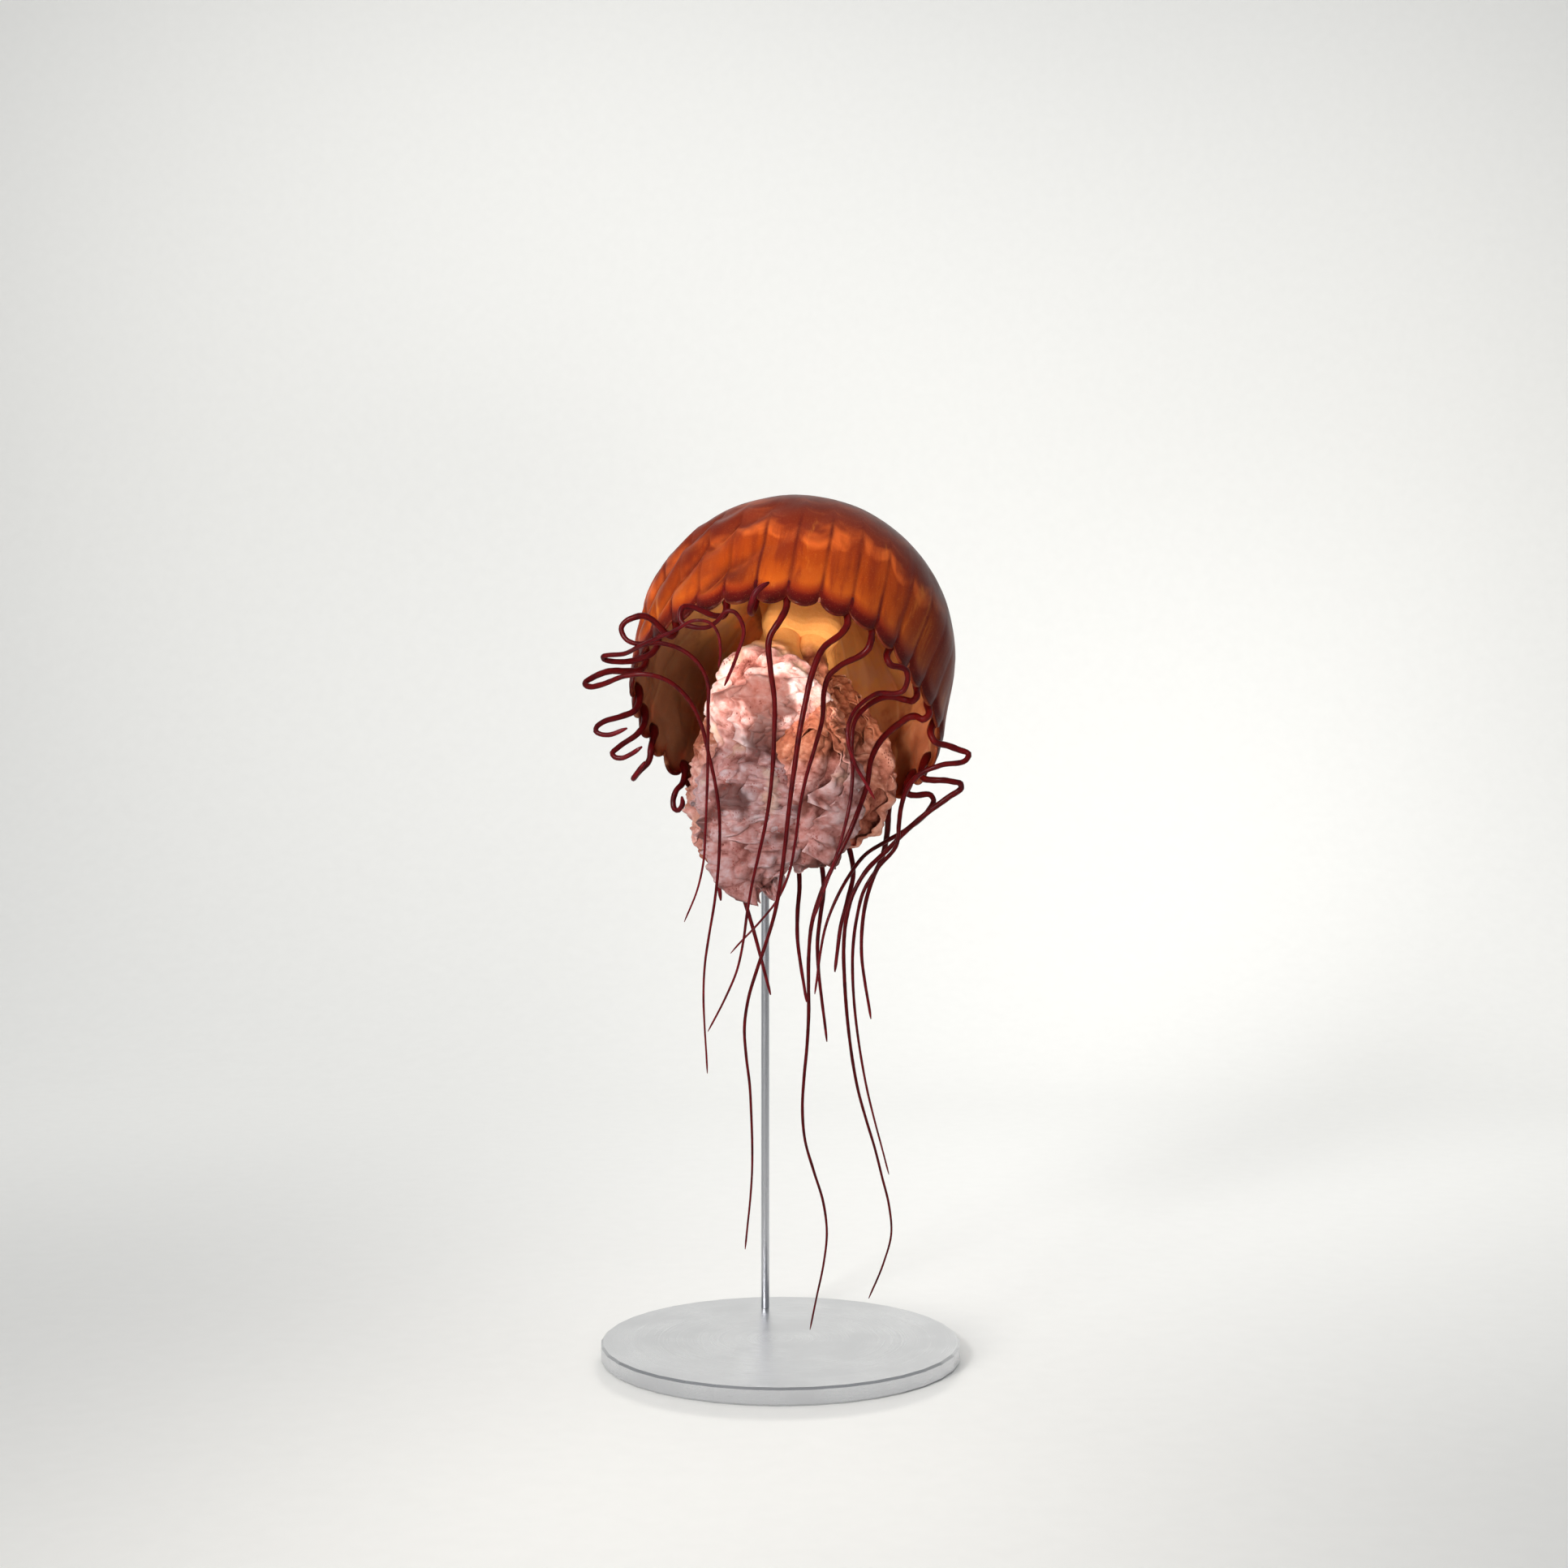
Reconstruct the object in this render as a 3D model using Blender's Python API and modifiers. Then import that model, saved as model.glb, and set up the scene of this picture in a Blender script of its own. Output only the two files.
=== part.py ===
"""Sea nettle jellyfish (Chrysaora fuscescens), life size, held still on a plain display stand.

Units are metres, +Z is up and +Y is behind the animal. The origin is the middle of the stand's
underside. The bell leans back and a little to +X, so its mouth opens forwards and down, the four
oral arms spill out of it, and the 24 tentacles trail from the notches of its margin.
"""

import math

import bmesh
import bpy
from mathutils import Vector

# Driving dimensions. Lengths that start with BELL_RADIUS are stated in bell radii.
BELL_RADIUS = 0.110
BELL_LEAN_BACK = math.radians(41.0)
BELL_LEAN_SIDE = math.radians(10.0)
BELL_DEPTH = 1.48
WAIST_HEIGHT = 0.49
MARGIN_HEIGHT = 0.13
APEX_THICKNESS = 0.135
MARGIN_THICKNESS = 0.022
WALL_TAPER = 1.6
QUARTER_COLUMNS = 12
DOME_ANGLES = (0, 15, 30, 45, 60, 75)

# The margin's band: its lappets drop below the rim plane and are cut back at the notches.
LAPPETS = 32
COLUMNS_PER_LAPPET = 3
LAPPET_DROP = 0.055
CLEFT_RISE = 0.012
CLEFT_HALF_WIDTH = 1.0 / 3.0
BAND_FOOT_HEIGHT = 0.04
EDGE_INSET = 0.002
EDGE_THICKNESS_SHARE = 0.6

# The margin is drawn inwards at these azimuths: (azimuth, half width, pull in bell radii).
MARGIN_PULLS = ((math.radians(35.0), math.radians(28.0), 0.10),
                (math.radians(205.0), math.radians(30.0), 0.035))
PULL_FADE_HEIGHT = 0.50

RIM_CENTRE = Vector((0.004, -0.042, 0.448))
GAP = 0.0003

# Tentacles: one in each notch of the margin but every fourth, which holds a sense organ.
FIRST_NOTCH_AZIMUTH = math.radians(6.5)
SENSE_ORGAN_EVERY = 4
TENTACLE_ROOT_THICKNESS = 0.0052
TENTACLE_TIP_THICKNESS = 0.0012
# A tentacle shorter than this is drawn in: it stays thicker and ends blunt.
TENTACLE_FULL_LENGTH = 0.24
TENTACLE_ROOT_INSET = 0.0485
TENTACLE_ROOT_HEIGHT = 0.035
TENTACLE_EXIT_HEIGHT = -0.115
TENTACLE_EXIT_INSET = 0.004
TENTACLE_CURVE_STEPS = 16
TENTACLE_LENGTH_OF_ONE_NODE = 0.105
TENTACLE_NODE_LETTERS = "abc"
STATION_STEP = 0.018
STATION_LEAST_STEP = 0.003
STATION_TURN = math.radians(24.0)
CUT_SEARCH = 3
CUT_GAP = 1.3 * GAP

# Stand.
BASE_RADIUS = 0.125
BASE_THICKNESS = 0.012
BASE_EDGE_BEVEL = 0.0015
BASE_SIDES = 36
ROD_RADIUS = 0.003
ROD_BEND_RADIUS = 0.030
ROD_BEND_STEPS = 6
ROD_BEVEL_RESOLUTION = 4
ROD_LEAD = 0.012
PAD_RADIUS = 0.009
PAD_THICKNESS = 0.0025
PAD_SIDES = 16
PAD_AZIMUTH = math.radians(268.0)
PAD_HEIGHT = 0.36

# Each tentacle's route after it leaves the margin, by the number of its notch: points
# (right, back, up) from the rim's centre, in bell radii.
TENTACLE_ROUTES = {
    # Right side, front to back.
    0: ((1.03, -0.10, -0.23), (1.12, -0.11, -0.28), (0.93, -0.13, -0.34), (0.78, -0.08, -0.42),
        (0.70, 0.00, -0.62), (0.68, -0.02, -0.82), (0.50, -0.04, -1.05), (0.42, -0.04, -1.35),
        (0.41, -0.04, -1.70), (0.48, -0.04, -2.25), (0.63, -0.04, -2.85)),
    1: ((0.76, -0.22, -0.04), (0.54, -0.26, -0.23), (0.48, -0.36, -0.47), (0.39, -0.42, -0.71),
        (0.16, -0.44, -1.24), (0.13, -0.45, -1.90), (0.10, -0.45, -2.50), (0.24, -0.45, -3.08),
        (0.14, -0.45, -3.70)),
    2: ((0.74, -0.35, 0.05), (0.59, -0.34, 0.07), (0.41, -0.44, -0.07), (0.39, -0.50, -0.47),
        (0.33, -0.53, -0.76), (0.16, -0.56, -1.25)),
    4: ((0.71, -0.54, 0.22), (0.69, -0.50, 0.10), (0.52, -0.50, 0.08), (0.37, -0.58, -0.08),
        (0.38, -0.61, -0.27), (0.52, -0.60, -0.54)),
    # Front.
    5: ((0.47, -0.68, 0.33), (0.36, -0.69, 0.27), (0.24, -0.70, 0.17), (0.21, -0.70, -0.07),
        (0.10, -0.66, -0.47), (-0.02, -0.60, -1.07), (-0.33, -0.57, -1.45)),
    6: ((0.20, -0.80, 0.32), (0.10, -0.87, -0.02), (0.03, -0.88, -0.47), (-0.06, -0.84, -1.16),
        (-0.24, -0.80, -1.80), (-0.21, -0.78, -2.25), (-0.20, -0.78, -2.70), (-0.24, -0.78, -3.15)),
    8: ((-0.10, -0.80, 0.39), (-0.07, -0.80, 0.02), (-0.10, -0.78, -0.55), (-0.21, -0.74, -1.08),
        (-0.29, -0.70, -1.54), (-0.46, -0.66, -1.90)),
    9: ((-0.21, -0.86, 0.56), (-0.17, -0.90, 0.66), (-0.10, -0.89, 0.71)),
    10: ((-0.60, -0.75, 0.58), (-0.61, -0.77, 0.49), (-0.45, -0.81, 0.46), (-0.32, -0.87, 0.55),
         (-0.25, -0.85, 0.46), (-0.30, -0.80, 0.26), (-0.36, -0.77, 0.12)),
    12: ((-0.84, -0.60, 0.54), (-0.97, -0.60, 0.48), (-0.93, -0.63, 0.39), (-0.66, -0.66, 0.36),
         (-0.48, -0.68, 0.20), (-0.46, -0.68, -0.10), (-0.47, -0.68, -0.61), (-0.50, -0.66, -0.99),
         (-0.60, -0.63, -1.26)),
    # Left side, front to back.
    13: ((-0.95, -0.42, 0.28), (-1.10, -0.44, 0.30), (-0.96, -0.54, 0.32), (-0.82, -0.74, 0.37),
         (-0.68, -0.82, 0.42), (-0.51, -0.92, 0.49), (-0.42, -0.92, 0.46), (-0.38, -0.92, 0.32),
         (-0.39, -0.90, 0.22)),
    14: ((-1.06, -0.32, 0.23), (-1.18, -0.34, 0.18), (-1.21, -0.37, 0.15), (-1.16, -0.41, 0.13),
         (-1.05, -0.46, 0.16), (-0.90, -0.52, 0.20), (-0.72, -0.54, 0.17), (-0.55, -0.52, 0.01),
         (-0.48, -0.52, -0.20), (-0.40, -0.53, -0.60), (-0.41, -0.52, -1.02), (-0.49, -0.50, -1.60),
         (-0.47, -0.48, -2.17)),
    16: ((-1.06, -0.05, -0.05), (-1.14, -0.07, -0.08), (-1.17, -0.09, -0.12), (-1.12, -0.11, -0.15),
         (-1.05, -0.13, -0.14), (-0.97, -0.15, -0.11)),
    17: ((-0.97, 0.11, -0.17), (-1.05, 0.09, -0.23), (-1.08, 0.07, -0.27), (-1.02, 0.05, -0.29),
         (-0.95, 0.03, -0.26), (-0.89, 0.01, -0.22)),
    18: ((-0.86, 0.25, -0.30), (-0.93, 0.25, -0.38), (-0.96, 0.21, -0.42), (-0.93, 0.17, -0.38),
         (-0.88, 0.15, -0.31)),
    20: ((-0.70, 0.44, -0.49), (-0.72, 0.43, -0.57), (-0.70, 0.41, -0.62), (-0.66, 0.38, -0.59),
         (-0.66, 0.34, -0.53)),
    # Back.
    21: ((-0.50, 0.58, -0.82), (-0.45, 0.58, -1.00), (-0.42, 0.57, -1.20)),
    22: ((-0.34, 0.56, -0.95), (-0.22, 0.53, -1.35), (-0.10, 0.52, -1.80)),
    24: ((0.08, 0.58, -0.97), (0.07, 0.57, -1.41), (0.13, 0.56, -1.85)),
    25: ((0.24, 0.56, -1.05), (0.20, 0.55, -1.50), (0.26, 0.52, -2.10)),
    26: ((0.43, 0.52, -0.98), (0.35, 0.50, -1.35), (0.31, 0.48, -1.65)),
    28: ((0.63, 0.44, -0.85), (0.52, 0.50, -1.15), (0.48, 0.50, -1.50), (0.54, 0.48, -1.95)),
    29: ((0.92, 0.24, -0.53), (0.89, 0.27, -0.62), (0.74, 0.31, -0.75), (0.51, 0.40, -0.89),
         (0.37, 0.40, -1.08), (0.25, 0.38, -1.35), (0.18, 0.36, -1.78)),
    30: ((1.00, 0.05, -0.43), (1.09, 0.10, -0.46), (0.97, 0.13, -0.56), (0.80, 0.14, -0.69),
         (0.65, 0.14, -0.84), (0.46, 0.12, -1.04), (0.37, 0.10, -1.30), (0.36, 0.08, -1.65),
         (0.43, 0.08, -2.28), (0.58, 0.08, -2.83), (0.65, 0.08, -3.24), (0.51, 0.08, -3.64)),
}

# Oral arms: the azimuth of the root under the manubrium, then stations down to the tip:
# (right, back, up, half width, half depth) from the rim's centre, in bell radii.
ORAL_ARMS = {
    "oral_arm_front_left": (math.radians(135.0), (
        (-0.11, 0.13, 0.33, 0.15, 0.12), (-0.20, 0.00, 0.14, 0.21, 0.18),
        (-0.26, -0.07, -0.14, 0.23, 0.20), (-0.27, -0.07, -0.45, 0.24, 0.19),
        (-0.28, -0.05, -0.74, 0.24, 0.17), (-0.26, -0.02, -1.00, 0.15, 0.12),
        (-0.19, 0.00, -1.17, 0.04, 0.04))),
    "oral_arm_front_right": (math.radians(45.0), (
        (0.19, 0.12, 0.29, 0.11, 0.11), (0.20, -0.03, 0.10, 0.13, 0.16),
        (0.20, -0.09, -0.14, 0.17, 0.19), (0.23, -0.07, -0.42, 0.20, 0.18),
        (0.22, -0.04, -0.68, 0.20, 0.16), (0.16, -0.01, -0.88, 0.15, 0.12),
        (0.08, 0.01, -1.02, 0.05, 0.05))),
    "oral_arm_back_left": (math.radians(225.0), (
        (-0.19, 0.43, 0.16, 0.13, 0.10), (-0.35, 0.37, -0.06, 0.16, 0.11),
        (-0.41, 0.33, -0.30, 0.18, 0.12), (-0.42, 0.31, -0.56, 0.20, 0.13),
        (-0.40, 0.31, -0.82, 0.17, 0.12), (-0.36, 0.32, -0.99, 0.06, 0.05))),
    "oral_arm_back_right": (math.radians(315.0), (
        (0.26, 0.42, 0.15, 0.12, 0.10), (0.40, 0.34, -0.06, 0.15, 0.11),
        (0.47, 0.28, -0.26, 0.18, 0.12), (0.48, 0.25, -0.48, 0.20, 0.13),
        (0.40, 0.25, -0.68, 0.17, 0.11), (0.30, 0.27, -0.82, 0.06, 0.05))),
}
ARM_ROOT_OFFSET = 0.148
ARM_ROOT_HALF_WIDTH = 0.092
ARM_NECK_LENGTH = 0.12
ARM_SIDES = 14
ARM_RINGS_PER_STATION = 2
ARM_FRILLS = 5
ARM_FRILL_DEPTH = 0.08
ARM_FRILL_TWIST = 2.1
ARM_FRILL_FADE_RINGS = 3

# Manubrium: (height above the rim plane, radius) in bell radii, from the arms up towards the roof.
MANUBRIUM_PROFILE = ((0.60, 0.27), (0.72, 0.25), (0.90, 0.26), (1.08, 0.32))
MANUBRIUM_SIDES = 20
MANUBRIUM_CORNER = 0.10
MANUBRIUM_CORNER_AZIMUTH = FIRST_NOTCH_AZIMUTH + math.radians(37.5)


def clear_scene():
    for obj in list(bpy.data.objects):
        bpy.data.objects.remove(obj)


def make_collection(name):
    collection = bpy.data.collections.new(name)
    bpy.context.scene.collection.children.link(collection)
    return collection


def make_material(name, colour, roughness, metallic=0.0):
    """A Principled material; the colour is linear RGB."""
    material = bpy.data.materials.new(name)
    material.use_nodes = True
    shader = material.node_tree.nodes["Principled BSDF"]
    shader.inputs["Base Color"].default_value = (*colour, 1.0)
    shader.inputs["Roughness"].default_value = roughness
    shader.inputs["Metallic"].default_value = metallic
    material.diffuse_color = (*colour, 1.0)
    return material


def add_object(name, data, collection, material):
    obj = bpy.data.objects.new(name, data)
    data.materials.append(material)
    collection.objects.link(obj)
    return obj


def bell_axes():
    """Unit vectors of the bell: to its right, to its front along the rim plane, and to its apex."""
    apex = Vector((math.sin(BELL_LEAN_SIDE) * math.cos(BELL_LEAN_BACK),
                   math.sin(BELL_LEAN_BACK),
                   math.cos(BELL_LEAN_SIDE) * math.cos(BELL_LEAN_BACK)))
    towards_front = Vector((0.0, -1.0, 0.0))
    front = (towards_front - apex * apex.dot(towards_front)).normalized()
    right = apex.cross(front).normalized()
    return right, front, apex


def bell_point(azimuth, radius, height):
    """World position from cylindrical bell coordinates, radius and height in bell radii."""
    right, front, apex = bell_axes()
    radial = right * math.cos(azimuth) + front * math.sin(azimuth)
    return RIM_CENTRE + (radial * radius + apex * height) * BELL_RADIUS


def margin_pull(azimuth, height):
    """How far the wall is drawn inwards at this azimuth and height, in bell radii."""
    pull = 0.0
    for centre, half_width, depth in MARGIN_PULLS:
        away = (azimuth - centre + math.pi) % (2 * math.pi) - math.pi
        pull += depth * math.exp(-((away / half_width) ** 2))
    fade = min(max(1.0 - height / PULL_FADE_HEIGHT, 0.0), 1.0)
    return pull * fade * fade * (3.0 - 2.0 * fade)


def wall_thickness(height):
    """The wall thickens from the thin margin to the jelly of the apex."""
    rise = min(max(height / BELL_DEPTH, 0.0), 1.0)
    return MARGIN_THICKNESS + (APEX_THICKNESS - MARGIN_THICKNESS) * rise ** WALL_TAPER


def dome_sections(lift, thickness_share):
    """(radius, height) of the dome's face from the margin cut to the apex, moved in by a share
    of the wall's thickness along the profile's normal."""
    sections = [(1.0, height) for height in (lift, 0.5 * (lift + WAIST_HEIGHT))]
    dome_height = BELL_DEPTH - WAIST_HEIGHT
    for angle in (math.radians(degrees) for degrees in DOME_ANGLES):
        sections.append((math.cos(angle), WAIST_HEIGHT + dome_height * math.sin(angle)))
    moved = []
    for radius, height in sections:
        inwards = thickness_share * wall_thickness(height)
        climb = max(height - WAIST_HEIGHT, 0.0) / dome_height
        moved.append((radius - inwards * math.sqrt(1.0 - climb * climb), height - inwards * climb))
    return moved


def bell_ring(mesh, columns, radius, height, drop=None):
    """A ring of vertices round the bell. drop(azimuth) lowers a vertex, for the lappets."""
    ring = []
    for column in range(columns):
        azimuth = FIRST_NOTCH_AZIMUTH + 2 * math.pi * column / columns
        level = height - (drop(azimuth) if drop else 0.0)
        inwards = margin_pull(azimuth, max(level, 0.0))
        ring.append(mesh.verts.new(bell_point(azimuth, radius - inwards, level)))
    return ring


def bridge(mesh, lower, upper):
    """Faces between two rings of equal count, the first below the second seen from outside."""
    count = len(lower)
    for i in range(count):
        j = (i + 1) % count
        mesh.faces.new((lower[i], lower[j], upper[j], upper[i]))


def finish_mesh(mesh, name):
    bmesh.ops.recalc_face_normals(mesh, faces=mesh.faces)
    data = bpy.data.meshes.new(name)
    mesh.to_mesh(data)
    mesh.free()
    data.shade_smooth()
    return data


def strip(mesh, first, second):
    """Faces between two rows of vertices of equal count."""
    for i in range(len(first) - 1):
        mesh.faces.new((first[i], first[i + 1], second[i + 1], second[i]))


def build_dome_quarter(name, start, collection, material):
    """A quarter of the umbrella above the margin, one closed shell with a flat cut at each side."""
    mesh = bmesh.new()
    right, front, _ = bell_axes()
    turn = math.radians(90.0) / QUARTER_COLUMNS
    # A quarter turn apart, the outward direction of one cut is the normal of the other.
    first_outwards = right * math.cos(start) + front * math.sin(start)
    last_outwards = front * math.cos(start) - right * math.sin(start)
    moves = {0: last_outwards * GAP / 2, QUARTER_COLUMNS: first_outwards * GAP / 2}
    cut = MARGIN_HEIGHT + GAP / BELL_RADIUS
    faces = []
    for thickness_share, pole_height in ((0.0, BELL_DEPTH), (1.0, BELL_DEPTH - APEX_THICKNESS)):
        rows = []
        for radius, height in dome_sections(cut, thickness_share):
            row = []
            for column in range(QUARTER_COLUMNS + 1):
                azimuth = start + turn * column
                place = bell_point(azimuth, radius - margin_pull(azimuth, height), height)
                row.append(mesh.verts.new(place + moves.get(column, Vector())))
            rows.append(row)
        pole = mesh.verts.new(bell_point(0.0, 0.0, pole_height) + sum(moves.values(), Vector()))
        for lower, upper in zip(rows, rows[1:]):
            strip(mesh, lower, upper)
        for column in range(QUARTER_COLUMNS):
            mesh.faces.new((rows[-1][column], rows[-1][column + 1], pole))
        faces.append((rows, pole))
    (outer, outer_pole), (inner, inner_pole) = faces
    strip(mesh, outer[0], inner[0])
    for column in moves:
        strip(mesh, [*(row[column] for row in outer), outer_pole],
              [*(row[column] for row in inner), inner_pole])
    return add_object(name, finish_mesh(mesh, name), collection, material)


def build_bell_dome(collection, material):
    """The umbrella above the margin in four quarters, thick at the apex."""
    for index, side in enumerate(("right", "front", "left", "back")):
        start = FIRST_NOTCH_AZIMUTH + math.radians(90.0 * index - 45.0)
        build_dome_quarter("bell_dome_" + side, start, collection, material)


def lappet_drop(azimuth):
    """Depth of the scalloped edge below the rim plane: full on a lappet, cut back at a notch."""
    phase = (azimuth - FIRST_NOTCH_AZIMUTH) * LAPPETS / (2 * math.pi)
    from_notch = abs((phase + 0.5) % 1.0 - 0.5)
    fullness = min(from_notch / CLEFT_HALF_WIDTH, 1.0)
    return LAPPET_DROP * fullness - CLEFT_RISE * (1.0 - fullness)


def build_bell_margin(collection, material):
    """The band that carries the lappets."""
    columns = COLUMNS_PER_LAPPET * LAPPETS
    mesh = bmesh.new()
    thick = wall_thickness(0.0)
    edge = 1.0 - EDGE_INSET
    outer_top = bell_ring(mesh, columns, 1.0, MARGIN_HEIGHT)
    outer_low = bell_ring(mesh, columns, 1.0, BAND_FOOT_HEIGHT)
    edge_out = bell_ring(mesh, columns, edge, 0.0, lappet_drop)
    edge_in = bell_ring(mesh, columns, edge - EDGE_THICKNESS_SHARE * thick, 0.0, lappet_drop)
    inner_low = bell_ring(mesh, columns, 1.0 - thick, BAND_FOOT_HEIGHT)
    inner_top = bell_ring(mesh, columns, 1.0 - wall_thickness(MARGIN_HEIGHT), MARGIN_HEIGHT)
    rings = (outer_top, outer_low, edge_out, edge_in, inner_low, inner_top)
    for upper, lower in zip(rings, rings[1:] + rings[:1]):
        bridge(mesh, lower, upper)
    return add_object("bell_margin", finish_mesh(mesh, "bell_margin"), collection, material)


def build_manubrium(collection, material):
    """The four-cornered stalk of the mouth; its top spreads out under the bell's roof."""
    gap = GAP / BELL_RADIUS
    roof = [(height - gap, radius) for radius, height in dome_sections(MARGIN_HEIGHT, 1.0)[-2:]]
    mesh = bmesh.new()
    rings = []
    for height, radius in (*MANUBRIUM_PROFILE, *roof):
        squareness = 0.0 if (height, radius) in roof else MANUBRIUM_CORNER
        ring = []
        for side in range(MANUBRIUM_SIDES):
            turn = 2 * math.pi * side / MANUBRIUM_SIDES
            corner = 1.0 + squareness * math.cos(4 * turn)
            place = bell_point(MANUBRIUM_CORNER_AZIMUTH + turn, radius * corner, height)
            ring.append(mesh.verts.new(place))
        rings.append(ring)
    for lower, upper in zip(rings, rings[1:]):
        bridge(mesh, lower, upper)
    mesh.faces.new(rings[0])
    pole = mesh.verts.new(bell_point(0.0, 0.0, BELL_DEPTH - APEX_THICKNESS - gap))
    for side in range(MANUBRIUM_SIDES):
        mesh.faces.new((rings[-1][side], rings[-1][(side + 1) % MANUBRIUM_SIDES], pole))
    return add_object("manubrium", finish_mesh(mesh, "manubrium"), collection, material)


def catmull_rom(points, steps):
    """A smooth curve through all the points, with the given steps to each span."""
    first = points[0] * 2 - points[1]
    last = points[-1] * 2 - points[-2]
    padded = [first, *points, last]
    curve = []
    for p0, p1, p2, p3 in zip(padded, padded[1:], padded[2:], padded[3:]):
        t1 = math.sqrt((p1 - p0).length)
        t2 = t1 + math.sqrt((p2 - p1).length)
        t3 = t2 + math.sqrt((p3 - p2).length)
        for step in range(steps):
            t = t1 + (t2 - t1) * step / steps
            a1 = p0 * ((t1 - t) / t1) + p1 * (t / t1)
            a2 = p1 * ((t2 - t) / (t2 - t1)) + p2 * ((t - t1) / (t2 - t1))
            a3 = p2 * ((t3 - t) / (t3 - t2)) + p3 * ((t - t2) / (t3 - t2))
            b1 = a1 * ((t2 - t) / t2) + a2 * (t / t2)
            b2 = a2 * ((t3 - t) / (t3 - t1)) + a3 * ((t - t1) / (t3 - t1))
            curve.append(b1 * ((t2 - t) / (t2 - t1)) + b2 * ((t - t1) / (t2 - t1)))
    curve.append(points[-1].copy())
    return curve


def blend_evenly(values, steps):
    """The values with straight-line steps between them, as many as catmull_rom makes."""
    blended = []
    for before, after in zip(values, values[1:]):
        blended += [before.lerp(after, step / steps) for step in range(steps)]
    return [*blended, values[-1]]


def oral_arm_stations(azimuth, stations):
    """(centre, half width, half depth) of every section, in metres, from the manubrium down."""
    underside = MANUBRIUM_PROFILE[0][0] - GAP / BELL_RADIUS
    centres = [bell_point(azimuth, ARM_ROOT_OFFSET, underside),
               bell_point(azimuth, ARM_ROOT_OFFSET, underside - ARM_NECK_LENGTH)]
    sizes = [Vector((ARM_ROOT_HALF_WIDTH, ARM_ROOT_HALF_WIDTH, 0.0))] * 2
    for right, back, up, half_width, half_depth in stations:
        centres.append(RIM_CENTRE + Vector((right, back, up)) * BELL_RADIUS)
        sizes.append(Vector((half_width, half_depth, 0.0)))
    centres = catmull_rom(centres, ARM_RINGS_PER_STATION)
    sizes = blend_evenly(sizes, ARM_RINGS_PER_STATION)
    return [(c, s.x * BELL_RADIUS, s.y * BELL_RADIUS) for c, s in zip(centres, sizes)]


def build_oral_arm(name, azimuth, stations, collection, material):
    """A frilled lobe: oval sections along a smooth line, their edge folded in and out."""
    sections = oral_arm_stations(azimuth, stations)
    right, _, apex = bell_axes()
    mesh = bmesh.new()
    rings = []
    for index, (centre, half_width, half_depth) in enumerate(sections):
        if index:
            after = sections[min(index + 1, len(sections) - 1)][0]
            along = (after - sections[index - 1][0]).normalized()
        else:
            along = -apex
        wide = (right - along * along.dot(right)).normalized()
        deep = along.cross(wide)
        depth = ARM_FRILL_DEPTH * min(index / ARM_FRILL_FADE_RINGS, 1.0)
        ring = []
        for side in range(ARM_SIDES):
            angle = 2 * math.pi * side / ARM_SIDES
            fold = 1.0 + depth * math.sin(ARM_FRILLS * angle + ARM_FRILL_TWIST * index)
            across = wide * (half_width * math.cos(angle)) + deep * (half_depth * math.sin(angle))
            ring.append(mesh.verts.new(centre + across * fold))
        rings.append(ring)
    for lower, upper in zip(rings, rings[1:]):
        bridge(mesh, lower, upper)
    mesh.faces.new(rings[0])
    mesh.faces.new(rings[-1])
    return add_object(name, finish_mesh(mesh, name), collection, material)


def tentacle_curve(notch):
    """The smooth line of the tentacle of one notch, from its root inside the margin to its tip."""
    azimuth = FIRST_NOTCH_AZIMUTH + 2 * math.pi * notch / LAPPETS
    radius = 1.0 - TENTACLE_ROOT_INSET - margin_pull(azimuth, 0.0)
    points = [bell_point(azimuth, radius, TENTACLE_ROOT_HEIGHT),
              bell_point(azimuth, radius - TENTACLE_EXIT_INSET, TENTACLE_EXIT_HEIGHT)]
    points += [RIM_CENTRE + Vector(point) * BELL_RADIUS for point in TENTACLE_ROUTES[notch]]
    return catmull_rom(points, TENTACLE_CURVE_STEPS)


def stations_on(curve):
    """(point, distance) stations, closer together where the curve turns."""
    stations = [(curve[0], 0.0)]
    travelled = 0.0
    since = 0.0
    turned = 0.0
    for before, here, after in zip(curve, curve[1:], curve[2:]):
        step = (here - before).length
        travelled += step
        since += step
        turned += (here - before).angle(after - here, 0.0)
        if since >= STATION_STEP or (turned >= STATION_TURN and since >= STATION_LEAST_STEP):
            stations.append((here, travelled))
            since = 0.0
            turned = 0.0
    travelled += (curve[-1] - curve[-2]).length
    if since < STATION_LEAST_STEP and len(stations) > 2:
        stations.pop()
    stations.append((curve[-1], travelled))
    return stations


def tentacle_radius(distance, length):
    """Radius at a distance from the root: a stout root, a quick taper, then a slow one."""
    share = distance / max(length, TENTACLE_FULL_LENGTH)
    root = TENTACLE_ROOT_THICKNESS / 2
    tip = TENTACLE_TIP_THICKNESS / 2
    return tip + (root - tip) * (0.62 * (1.0 - share) + 0.38 * (1.0 - share) ** 5)


def build_tube(name, stations, collection, material):
    """A tapered tube through (point, radius) stations, with flat ends."""
    data = bpy.data.curves.new(name, "CURVE")
    data.dimensions = "3D"
    data.twist_mode = "MINIMUM"
    data.bevel_depth = 1.0
    data.bevel_resolution = 1
    data.use_fill_caps = True
    spline = data.splines.new("POLY")
    spline.points.add(len(stations) - 1)
    spline.use_smooth = True
    for target, (point, radius) in zip(spline.points, stations):
        target.co = (*point, 1.0)
        target.radius = radius
    return add_object(name, data, collection, material)


def bend_at(tube, index):
    """The angle through which the tube turns at a station."""
    before, here, after = (tube[i][0] for i in (index - 1, index, index + 1))
    return (here - before).angle(after - here)


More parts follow.
